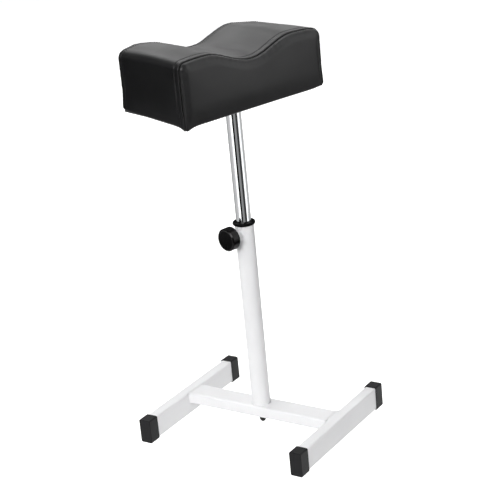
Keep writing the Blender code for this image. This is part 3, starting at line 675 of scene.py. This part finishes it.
# Points along the outline, and lines on a panel, on the rounded edge, beside it and over half the band.
FINE_POINTS, FINE_LINES = 310, (40, 34, 16, 28)
CLOTH_POINTS, CLOTH_LINES = 84, (10, 2, 2, 12)
CLOTH_SHRINK, CLOTH_CAP, CLOTH_STEPS, CLOTH_EVENING = 1.0, 4.0, 25, 10
HELD_AT_SEAM, HELD_AT_FOOT = 2.6, 1.5
CLOTH = {"quality": 6, "mass": 0.3, "air_damping": 6.0, "tension_stiffness": 18, "compression_stiffness": 18,
         "shear_stiffness": 8, "bending_stiffness": 1.5, "vertex_group_mass": "held", "use_pressure": True,
         "uniform_pressure_force": 8.0}
FELT_PLAY, FELT_THICK, FELT_LEVEL, FELT_WAVE = 0.3, 0.6, 0.75, 0.15
STAPLE_INSET, STAPLE_PITCH, STAPLE_WIDE, STAPLE_THICK, STAPLE_LEVEL = 12.0, 24.0, 0.65, 0.34, -0.28
STAPLE_REACH, STAPLE_SINK = np.array([-5, -5, -4.5, 4.5, 5, 5]), np.array([1.5, 0.2, 0, 0, 0.2, 1.5])


def in_room(points):
    """Points of the cushion's own frame (along, across, up) set in the room's."""
    return PAD_PLACE + points[..., :1] * PAD_ALONG + points[..., 1:2] * PAD_ACROSS + points[..., 2:] * UP


def outline(count):
    """The saddle from its side: an end, a shoulder's arc, hump, valley and hump in cosines, and back down.

    Gives points (along, up) at even steps of length, their inward normals and their lengths."""
    along = np.linspace(-LONG / 2, 0, 4001)
    past = np.clip((-along - HUMP_PLACE) / (LONG / 2 - HUMP_PLACE), 0, 1)
    wave = VALLEY + (HUMP - VALLEY) * (1 - np.cos(pi * np.minimum(-along, HUMP_PLACE) / HUMP_PLACE)) / 2
    top = np.stack([along, wave - SHOULDER_DROP * past ** 2], 1)
    slope = np.gradient(top[:, 1], along)
    inward = np.stack([slope, -np.ones_like(slope)], 1) / np.hypot(slope, 1)[:, None]
    centres = top + SHOULDER * inward
    first = np.argmax(centres[:, 0] >= -LONG / 2 + SHOULDER)
    lean = np.arctan2(-inward[first, 1], -inward[first, 0])
    turn = np.linspace(pi, lean, 40)
    arc = centres[first] + SHOULDER * np.stack([np.cos(turn), np.sin(turn)], 1)
    half = np.vstack([[-LONG / 2, UNDER_EDGE], arc, top[first + 1:]])
    path = np.vstack([half, half[-2::-1] * (-1, 1)])
    even = np.linspace(0, lengths(path)[-1], count)
    spots = along_path(even, path)
    way = np.gradient(spots, axis=0)
    way /= np.linalg.norm(way, axis=1, keepdims=True)
    return spots, np.stack([way[:, 1], -way[:, 0]], 1), even


def ways_across(panel_lines, edge_lines, near_lines, band_lines):
    """For each line of the cover, from the front panel's foot over the band to the back panel's foot: its
    place across, how far it is set in from the outline, and its share of the way down a side panel."""
    down = np.linspace(1, 0, panel_lines + 1)[:-1] ** 1.4
    swing = np.linspace(-1, 1, edge_lines + 1)
    turn = pi / 4 * (1 - np.sign(swing) * np.abs(swing) ** 1.5)
    flat = WIDE / 2 - EDGE
    near = -flat + np.linspace(0, NEAR_SEAM, near_lines + 1)[1:]
    band = np.linspace(-flat + NEAR_SEAM, 0, band_lines + 1)[1:]
    across = np.concatenate([0 * down - WIDE / 2, -flat - EDGE * np.sin(turn), near, band])
    inset = np.concatenate([0 * down + EDGE, EDGE * (1 - np.cos(turn)), 0 * near, 0 * band])
    share = np.concatenate([down, 0 * turn, 0 * near, 0 * band])
    return (np.concatenate([across, -across[-2::-1]]), np.concatenate([inset, inset[-2::-1]]),
            np.concatenate([share, share[-2::-1]]))


def cover(count, across, inset, share):
    """The cover's plain form: outline points set in by inset, ruled down to the panel's foot by share, then
    softened. Gives it, each point's distance from the seam, and the lengths along the outline.

    The rounded edge is tighter beside the board. Softening draws the long sides and ends in towards the top,
    crowns the band and puffs the side panels. The sewn cover isn't quite true: its back half carries a
    shallower saddle, and two ends stand out a few millimetres further, as photographed."""
    spots, inward, run = outline(count)
    tight = EDGE_TIGHT + (1 - EDGE_TIGHT) * smooth((spots[:, 1:] - UNDER_EDGE) / EDGE_OPENS)
    edge = EDGE * tight
    flat = WIDE / 2 - EDGE
    rest = np.abs(across)
    on_edge, on_band = WIDE / 2 - (WIDE / 2 - rest) * tight, rest / flat * (WIDE / 2 - edge)
    y = np.sign(across) * np.where(rest > flat, on_edge, on_band)
    corner = LONG / 2 - edge[0, 0]
    foot = np.stack([np.linspace(-corner, corner, count), np.full(count, UNDER_EDGE)], 1)
    side = spots[:, None] + (inset * tight)[..., None] * inward[:, None]
    side = side * (1 - share[None, :, None]) + foot[:, None] * share[None, :, None]
    x, z = side[..., 0], side[..., 1]
    lift = np.clip((z - BOARD_TOP) / (HUMP - BOARD_TOP), 0, 1)
    middle_along, middle_across = 1 - (2 * x / LONG) ** 2, 1 - (2 * y / WIDE) ** 2
    puff = 4 * PANEL_PUFF * middle_along * lift * (1 - lift)
    # What isn't true: how far each end stands out and each stretch of the back half rises or sinks, in mm.
    behind = y / WIDE + 0.5
    left, right = smooth((-x - 60) / 80), smooth((x - 60) / 80)
    front_right_out = 4.5 * (1 - behind) * right
    back_left_out, left_aside = 5 * behind * left, 1.2 * behind * left
    back_hump_in = 9 * behind * lift * smooth(x / 40) * (1 - smooth((x - 105) / 30))
    left_rise = 2.6 * smooth((-x - 30) / 30) + 3.0 * hill(x + 108, 16)
    right_sink, valley_sink = 2.0 * smooth((x - 40) / 40), 5.5 * hill(x + 42, 26)
    right_rise = 5.8 * hill(x - 80, 30)
    shallow = 0.28 * (z - (HUMP + VALLEY) / 2) * smooth((x + 50) / 40) * (z > VALLEY - 8)
    end_sink = (1.5 + 7 * behind * (1 - behind)) * smooth((x - 112) / 26)
    shift = front_right_out - back_left_out - back_hump_in
    rise = behind * (left_rise - right_sink - valley_sink + right_rise - shallow) - end_sink
    soft = np.stack([x - DRAWN_IN * lift * middle_across * 2 * x / LONG + shift,
                     y - (DRAWN_IN * lift * middle_along - puff) * 2 * y / WIDE + left_aside,
                     z + lift * (CROWN * middle_across + rise)], -1)
    # Distance from the seam, which lies on the rounded edge: plus on the band, minus on a panel.
    reach = np.linalg.norm(spots + edge * inward - foot, axis=1)[:, None] * share
    bend = edge * np.arccos(np.clip(1 - inset / EDGE, -1, 1))
    above = edge * pi / 2 * (1 - np.where(across < 0, SEAM_SHARE, BACK_SEAM_SHARE))
    from_seam = above - bend + np.maximum(WIDE / 2 - edge - np.abs(y), 0) - reach
    return soft, from_seam, run


def outward(points):
    """Unit normals of a grid, the cross product of its ways, turned away from the cushion's middle."""
    normal = np.cross(np.gradient(points, axis=0), np.gradient(points, axis=1))
    size = np.linalg.norm(normal, axis=-1, keepdims=True)
    normal = np.where(size > 1e-9, normal / np.maximum(size, 1e-9), 0)
    away = np.sum(normal * (points - PAD_MIDDLE), -1, keepdims=True)
    return normal * np.where(np.median(away) < 0, -1, 1)


def spread(coarse, fine):
    """Weights that carry values at coarse places to fine ones along cubic curves through them."""
    spot = np.clip(np.searchsorted(coarse, fine, side="right") - 1, 0, len(coarse) - 2)
    part = np.clip((fine - coarse[spot]) / (coarse[spot + 1] - coarse[spot]), 0, 1)[:, None]
    shares = np.hstack([-part + 2 * part ** 2 - part ** 3, 2 - 5 * part ** 2 + 3 * part ** 3,
                        part + 4 * part ** 2 - 3 * part ** 3, -part ** 2 + part ** 3]) / 2
    four = np.clip(spot[:, None] + np.arange(-1, 3), 0, len(coarse) - 1)
    weights = np.zeros((len(fine), len(coarse)))
    np.add.at(weights, (np.arange(len(fine))[:, None], four), shares)
    return weights


def underside(loop):
    """The turned-under edge: the cover's foot drawn in ring by ring, round under, along the lip, over its cut
    edge, back above it to the board's side, up that side and in over the board."""
    turn = np.linspace(0, pi / 2, 7)[1:]
    roof = BOARD_TOP + ROOF_GAP
    # Rings: under the edge, along the lip, over its cut edge, back to the board's side and over the board.
    inset = np.concatenate([UNDER_EDGE * (1 - np.cos(turn)), [8, 14, 19, LIP - 0.3, LIP, LIP, LIP - 0.3, 12],
                            [FILL_INSET, FILL_INSET, FILL_INSET, 30, WIDE / 2]])
    height = np.concatenate([UNDER_EDGE * (1 - np.sin(turn)), [0, 0, 0, 0, 0.3, 0.9, COVER_THICK],
                             [COVER_THICK, COVER_THICK, 7, roof, roof, roof]])
    half = np.array([LONG, WIDE]) / 2
    shrink = 1 - inset[:, None, None] / half
    shrink[-1] = 0
    # Where the foot stands out past the board, the lip is trued up to the felt as it runs in.
    past = np.clip(loop[:, :2], -half, half) - loop[:, :2]
    plan = loop[:, :2] + past * smooth(inset / 14)[:, None, None]
    drawn = np.concatenate([plan * shrink, height[:, None, None] + 0 * loop[None, :, :1]], -1)
    # A mitred fold of doubled cover runs in from each corner along the lip.
    fold = np.abs(np.abs(drawn[..., 0]) - np.abs(drawn[..., 1]) - (LONG - WIDE) / 2)
    drawn[..., 2] -= 0.8 * hill(fold, 3.0) * ((inset > 2) & (height < 0.5))[:, None]
    return np.concatenate([loop[None], drawn])


def droop(points):
    """Lets the cover's foot hang: most at the near corner, where the folded cover is bunched, less along the
    front and the end that meet there, fading upwards and inwards. Other corners are rounded up a little."""
    x, y, z = points[..., 0], points[..., 1], points[..., 2]
    left, front = np.clip(0.5 - x / LONG, 0, 1), np.clip(0.5 - y / WIDE, 0, 1)
    inside = np.clip(np.minimum(LONG / 2 - np.abs(x), WIDE / 2 - np.abs(y)), 0, None)
    from_corner = np.hypot(LONG / 2 - np.abs(x), WIDE / 2 - np.abs(y))
    near = (x < 0) & (y < 0)
    front_hang, back_tuck = front ** 1.6 * (1.6 + 4.2 * left ** 1.6), 1.5 * (1 - front) * left ** 3
    corner_hang = np.where(near, 5.4, -3.0) * hill(from_corner, np.where(near, 14, 11))
    deep = front_hang - back_tuck + corner_hang
    points[..., 2] = z - deep * hill(inside, 9) * np.clip(1 - z / 40, 0, 1) ** 1.5
    return points


def loop_of(grid):
    """The cover's foot as one ring: along the front, the right end, the rear and the left end."""
    return np.concatenate([grid[:-1, 0], grid[-1, :-1], grid[:0:-1, -1], grid[0, :0:-1]])


def inflated(run, fine_lines):
    """How far the cover's points swell outwards when it is blown up as cloth held at its seams and foot.

    The cover starts a little smaller, swells under pressure, and no point may swell more than its cap."""
    start, from_seam, coarse_run = cover(CLOTH_POINTS, *ways_across(*CLOTH_LINES))
    held = (np.abs(from_seam) < HELD_AT_SEAM) | (start[..., 2] < UNDER_EDGE + HELD_AT_FOOT)
    ready = start - np.where(held, 0, CLOTH_SHRINK)[..., None] * outward(start)
    # Points that meet at a panel's corners become one, and faces that they close up are left out.
    points, spot = np.unique(np.round(in_room(ready).reshape(-1, 3), 3), axis=0, return_inverse=True)
    spot = spot.ravel()
    faces = spot[quads(*ready.shape[:2], False, False)]
    whole = (np.diff(np.sort(faces, axis=1), axis=1) > 0).all(1)
    mesh = bpy.data.meshes.new("swelling")
    mesh.from_pydata((points * MM).tolist(), [], faces[whole].tolist())
    swelling = in_scene("swelling", mesh)
    swelling.vertex_groups.new(name="held").add(np.unique(spot[held.ravel()]).tolist(), 1.0, "REPLACE")
    cloth = swelling.modifiers.new("cloth", "CLOTH")
    for key, value in CLOTH.items():
        setattr(cloth.settings, key, value)
    cloth.settings.effector_weights.gravity = 0
    for step in range(1, CLOTH_STEPS + 1):
        scene.frame_set(step)
    blown = swelling.evaluated_get(bpy.context.evaluated_depsgraph_get()).to_mesh()
    after = np.empty(points.size)
    blown.vertices.foreach_get("co", after)
    moved = (after.reshape(-1, 3) / MM - points)[spot].reshape(start.shape)
    scene.frame_set(1)
    bpy.data.objects.remove(swelling)
    moved = np.stack([moved @ PAD_ALONG, moved @ PAD_ACROSS, moved[..., 2]], -1) + ready - start
    swell = np.clip(np.sum(moved * outward(start), -1), 0, CLOTH_CAP)
    # The foam behind the cover evens out the cloth's folds: each point goes half way to its neighbours' mean.
    for _ in range(CLOTH_EVENING):
        wide = np.pad(swell, 1, "edge")
        swell = swell / 2 + (wide[:-2, 1:-1] + wide[2:, 1:-1] + wide[1:-1, :-2] + wide[1:-1, 2:]) / 8
    places = lengths(start[CLOTH_POINTS // 2])
    fine_places = lengths(cover(CLOTH_POINTS, *fine_lines)[0][CLOTH_POINTS // 2])
    down, over = spread(coarse_run, run), spread(places, fine_places * places[-1] / fine_places[-1])
    return np.einsum("ai,ij,bj->ab", down, swell, over)


def detail(points, from_seam, run):
    """Height of the small forms above the cover: the seam's groove and lips, the soft roll of a panel's
    edges, the topstitch's channel, gathers beside the seam as sums of sines, slow waves of the foam, and
    faint creases across the valley. Room grows with height above the board, level away from both ends."""
    x, y, z = points[..., 0], points[..., 1], points[..., 2]
    run = run[:, None]
    away = np.abs(from_seam)
    room = np.clip((z - 14) / 30, 0, 1)
    level = 0.2 + 0.8 * smooth((LONG / 2 - 8 - np.abs(x)) / 16)
    groove = -(0.6 + 1.1 * room) * hill(from_seam, 1.0)
    welt = (0.5 + 1.4 * room) * level * hill(from_seam + 4.2, 2.4)
    lips = welt + 0.30 * hill(from_seam - 2.4, 1.6)
    edge = level * smooth(-from_seam / SEAM_REACH) + (1 - level) * bulge(-from_seam / ROLL_REACH)
    roll = PANEL_ROLL * edge * bulge((z - UNDER_EDGE) / ROLL_REACH)
    channel = -(0.3 + 0.6 * room) * hill(from_seam - STITCH_ROW, 1.2)
    swing = np.sin(run / 2.07 + y / 40) + 0.7 * np.sin(run / 3.05 + 1.3) + 0.5 * np.sin(run / 1.43 + 0.4)
    slack = 0.35 + 0.65 * np.sin(run / 31.0 + y / 90) ** 2
    gathers = 0.15 * swing * slack * hill(away - 5, 6) * (away > 1.2) * room
    foam = 0.28 * np.sin(x / 17.0 + y / 29.0 + 0.6) * np.sin(y / 21.0 - x / 47.0)
    waves = foam * np.clip(away / 20, 0, 1) * room
    lines = x[..., None] - CREASES - CREASE_BOWS * np.cos(y[..., None] / 26 + CREASES)
    depth = 0.10 * hill(lines, 3.2) * np.cos(y[..., None] / 75 + CREASES / 40) ** 2
    creases = -depth.sum(-1) * ((from_seam > 7) & (z > 60))
    return groove + lips + roll + channel + gathers + waves + creases


def cushion():
    """The sewn cushion: plain form, cloth swelling, small forms along the normal, bunched corners and
    turned-under edge."""
    lines = ways_across(*FINE_LINES)
    points, from_seam, run = cover(FINE_POINTS, *lines)
    points = points + outward(points) * inflated(run, lines)[..., None]
    points = points + outward(points) * detail(points, from_seam, run)[..., None]
    below = underside(loop_of(points))
    lip = np.argmax(np.diff(below[:, 0, 2]) > 0.2)
    below[:lip] = droop(below[:lip])
    return droop(points), below, from_seam


top, below, from_seam = cushion()
# Painted shade: a mark along the seam that the leatherette reads to darken and dull its groove.
seam_shade = np.concatenate([hill(from_seam, SEAM_SHADE_REACH).ravel(), np.zeros(below.shape[0] * below.shape[1])])
pad = piece("saddle_cushion", "mast", LEATHER,
            [(in_room(top), False, False), (in_room(below), False, True)], ["pad_cover", "foam_core"],
            crisp=False, marks={"painted_seam_shade": seam_shade})


def stitches(line, normal):
    """Short threads laid end to end along a line at an even pitch: each is a capsule, six-sided round its
    run, with radius a half ellipse of its length, sunk at both ends."""
    run = lengths(line)
    middle = np.arange(STITCH_PITCH, run[-1] - STITCH_PITCH, STITCH_PITCH)
    reach = np.linspace(-1, 1, 6)
    at = middle[:, None] + reach * STITCH_LONG / 2
    spine = along_path(at, line)
    up = np.stack([np.interp(at, run, column) for column in normal.T], -1)
    side = np.cross(np.gradient(spine, axis=1), up)
    side /= np.linalg.norm(side, axis=-1, keepdims=True)
    angle = around(6)
    thick = STITCH_THICK * np.sqrt(np.clip(1 - reach ** 2, 0, 1))[None, :, None, None]
    proud = (STITCH_PROUD - STITCH_THICK * reach ** 2)[None, :, None, None]
    ring = np.cos(angle)[:, None] * side[:, :, None] + np.sin(angle)[:, None] * up[:, :, None]
    return spine[:, :, None] + thick * ring + proud * up[:, :, None]


def sewn_rows(points, from_seam):
    """Both topstitch rows: the line of the front half that lies nearest to the row's distance from the seam,
    and its counterpart on the back half."""
    normal = outward(points)
    middle, half = len(from_seam) // 2, from_seam.shape[1] // 2
    front = np.argmin(np.abs(from_seam[middle, :half] - STITCH_ROW))
    rows = [stitches(points[:, line], normal[:, line]) for line in (front, from_seam.shape[1] - 1 - front)]
    return [(in_room(one), False, True) for row in rows for one in row]


piece("topstitching", "mast", THREAD, sewn_rows(top, from_seam), crisp=False)


def felt_panel():
    """The felt under the board: a flat sheet with slow waves of a few tenths of a millimetre."""
    half_long, half_wide = LONG / 2 - LIP - FELT_PLAY, WIDE / 2 - LIP - FELT_PLAY
    wide, long = np.meshgrid(np.linspace(-half_wide, half_wide, 48), np.linspace(-half_long, half_long, 90))
    sag = FELT_LEVEL + FELT_WAVE * np.sin(long / 19 + wide / 31) * np.cos(wide / 17)
    return np.stack([long, wide, sag], -1)


felt = piece("felt_panel", "mast", FELT, [(in_room(felt_panel()), False, False)],
             ["dust_cover"], crisp=False)
thick = felt.modifiers.new("felt", "SOLIDIFY")
thick.thickness = FELT_THICK * MM
thick.offset = 0


def staples():
    """Staple backs along the middle of the lip: flat bars with round edges at an even pitch, each a little
    askew."""
    corners = np.array([(-1, -1), (1, -1), (1, 1), (-1, 1), (-1, -1)])
    path = corners * (LONG / 2 - STAPLE_INSET, WIDE / 2 - STAPLE_INSET)
    run = lengths(path)
    at = np.arange(STAPLE_PITCH / 2, run[-1], STAPLE_PITCH)
    place = along_path(at, path)
    heading = np.floor(np.interp(at, run, np.arange(5)) + 1e-9) * pi / 2 + 0.16 * np.sin(at * 1.7)
    along = np.stack([np.cos(heading), np.sin(heading)], -1)[:, None, None]
    side = np.stack([-np.sin(heading), np.cos(heading)], -1)[:, None, None]
    reach, sink = STAPLE_REACH[:, None], STAPLE_SINK[:, None]
    size = np.array([0, 1, 1, 1, 1, 0])[:, None]
    angle = around(8)
    aside = (STAPLE_WIDE * size * np.cos(angle))[..., None] * side
    plan = place[:, None, None] + reach[..., None] * along + aside
    height = np.broadcast_to(STAPLE_LEVEL + sink + STAPLE_THICK * size * np.sin(angle), plan.shape[:3])
    return [(in_room(np.concatenate([one, up[..., None]], -1)), False, True) for one, up in zip(plan, height)]


piece("staples", "mast", ZINC, staples(), crisp=False)

# CAD nodes that stay

STAYS = {PAINT: ["mounting_plate"], NYLON: ["clamp_tip", "glide_bush"], PLYWOOD: ["base_board"],
         ZINC: ["post_foot_plug", "foot_stud", "foot_washer", "knob_stud",
                "tee_nut_1", "tee_nut_2", "tee_nut_3", "tee_nut_4"]}
for material, nodes in STAYS.items():
    for node in nodes:
        frame["nodes"][node].data.materials.clear()
        frame["nodes"][node].data.materials.append(material)


# Floor and light

GROUND_WIDE, TABLE_WIDE, TABLE_LEVEL = 60000, 1300, 0.3
BACKDROP_FAR, BACKDROP_MIDDLE, BACKDROP_TALL = 29000.0, 19000, 40000
AIR_GLOW = 0.14


def white_floor():
    """A white floor that glows evenly, so that shadows on it stay pale, with a faint mottle like paper's."""
    material, tree, shader = finish("white_floor", roughness=0.9, emission_color=colour("#FFFFFF"),
                                    emission_strength=0.90)
    place = add(tree, "TexCoord", out="Object")
    mottle = add(tree, "TexNoise", {"Vector": place, "Scale": grain(600), "Detail": 2.0})
    tone = add(tree, "Mix", {0: mottle, 6: colour("#BEBEBE"), 7: colour("#B8B8B8")}, out=2, data_type="RGBA")
    connect(tree, shader, {"Base Color": tone})
    return material


def paper(name, code, glow=1.0):
    """A card that glows in one even tone and reflects nothing, for flags, backdrops and the table."""
    return finish(name, base_color=(0, 0, 0, 1), roughness=1.0, specular_ior_level=0.0,
                  emission_color=colour(code), emission_strength=glow)[0]


def card(name, place, facing, wide, tall, material):
    """A flat sheet of two by two points at a place, square to the way it faces."""
    facing = np.asarray(facing, float) / np.linalg.norm(facing)
    side = np.cross((0, 0, 1), facing) if abs(facing[2]) < 0.9 else np.array([1.0, 0, 0])
    side = side / np.linalg.norm(side)
    u, v = np.meshgrid([-wide / 2, wide / 2], [-tall / 2, tall / 2])
    grid = np.asarray(place, float) + u[..., None] * side + v[..., None] * np.cross(facing, side)
    made = in_scene(name, mesh_of(name, [(grid, False, False)]))
    made.data.materials.append(material)
    return made


def seen_only_by(made, ray):
    """Hides a card from every kind of ray but one, and lets it cast no shadow."""
    for kind in ("camera", "diffuse", "glossy", "transmission", "shadow"):
        setattr(made, "visible_" + kind, kind == ray)


def flag(name, heading, far, wide, low, high, code, glow=1.0):
    """A card stood round the object at a heading in degrees, seen only in mirror-like surfaces."""
    way = np.array([cos(radians(heading)), sin(radians(heading)), 0])
    place = way * far + (0, 0, (low + high) / 2)
    seen_only_by(card(name, place, -way, wide, high - low, paper(name, code, glow)), "glossy")


def soft_light(name, place, aim, wide, tall, power):
    """A large soft panel of light at a place, aimed at a point."""
    light = bpy.data.lights.new(name, "AREA")
    light.shape, light.size, light.size_y, light.energy = "RECTANGLE", wide, tall, power
    lamp = in_scene(name, light)
    lamp.location = place
    lamp.rotation_euler = (Vector(aim) - Vector(place)).to_track_quat("-Z", "Y").to_euler()


# The wide floor and the backdrops are a white ground for the picture: only the camera sees the backdrops, and
# the floor gives no light but in reflections. A card as large as a table lights the footrest from below.
ground = card("floor", (0, 0, 0), (0, 0, 1), GROUND_WIDE, GROUND_WIDE, white_floor())
ground.visible_diffuse = False
for name, way in (("front", (0, -1, 0)), ("right", (1, 0, 0)), ("back", (0, 1, 0)), ("left", (-1, 0, 0))):
    place = np.array(way) * BACKDROP_FAR + (0, 0, BACKDROP_MIDDLE)
    white = paper(f"{name}_backdrop", "#FFFFFF", 1.05)
    wall = card(f"{name}_backdrop", place, np.array(way) * -1.0, GROUND_WIDE, BACKDROP_TALL, white)
    seen_only_by(wall, "camera")
table = card("table", (0, 0, TABLE_LEVEL), (0, 0, 1), TABLE_WIDE, TABLE_WIDE, paper("table", "#FFFFFF", 0.8))
seen_only_by(table, "diffuse")
world = bpy.data.worlds.new("studio")
world.use_nodes = True
air = world.node_tree.nodes["Background"]
connect(world.node_tree, air, {"Color": colour("#FFFFFF"), "Strength": AIR_GLOW})
scene.world = world
soft_light("key", (0.85, -2.78, 1.9), (0, 0, 0.3), 1.5, 1.0, 90)
soft_light("fill", (-1.9, -1.3, 2.4), (0, 0, 0.3), 0.7, 0.7, 27)
soft_light("left", (-1.65, 0.9, 2.5), (0, 0, 0.6), 1.6, 1.6, 26)
soft_light("right", (2.3, 0.2, 1.5), (0, 0, 0.3), 0.7, 1.6, 10)
soft_light("rear", (-1.1, 2.6, 1.25), (0, 0, 0.6), 3.0, 1.3, 26)
# The first four headings follow the stripes that the photograph shows in the chrome, and the next three carry
# the stripes on round the mast. The others shape the sheen on the cushion, the knob and the bush.
flag("black_flag", -16, 750, 460, 0, 430, "#3C3C3C")
flag("grey_flag", -48, 770, 430, 0, 430, "#929292")
flag("dark_flag", -75.5, 750, 340, 0, 430, "#0C0C0C")
flag("pale_flag", -124, 760, 230, 0, 430, "#E0E0E0")
flag("left_flag", 206, 750, 580, 0, 430, "#C4C4C4")
flag("left_rim_flag", 155.5, 750, 850, 0, 430, "#A8A8A8")
flag("right_flag", 76, 750, 1260, 0, 430, "#BCBCBC")
flag("end_flag", 216, 370, 520, 476, 1100, "#050505")
flag("turn_flag", 44, 620, 320, 440, 640, "#101010")
flag("bright_card", 23, 1600, 1200, 250, 1300, "#FFFFFF", 3.4)
flag("slope_card", 148, 2400, 2600, 1500, 3600, "#FFFFFF", 0.9)
flag("knob_flag", -152, 730, 440, 0, 110, "#050505")
flag("grip_flag", 27, 730, 420, 0, 95, "#101010")
flag("knob_card", -92, 2000, 1000, 1780, 2380, "#FFFFFF", 14.0)
flag("collar_flag", 124, 300, 190, 420, 560, "#080808")
flag("back_flag", 118, 1700, 3000, 300, 900, "#303030")
flag("edge_card", 45, 1900, 1800, 1400, 2900, "#FFFFFF", 2.5)
seen_only_by(card("low_card", (660, 190, 0.6), (0, 0, 1), 640, 1300, paper("low_card", "#404040")), "glossy")
high_card = card("top_card", (500, 600, 2600), (0, 0, -1), 2000, 2000, paper("top_card", "#FFFFFF", 5.0))
seen_only_by(high_card, "glossy")
scene.view_settings.view_transform = "Standard"
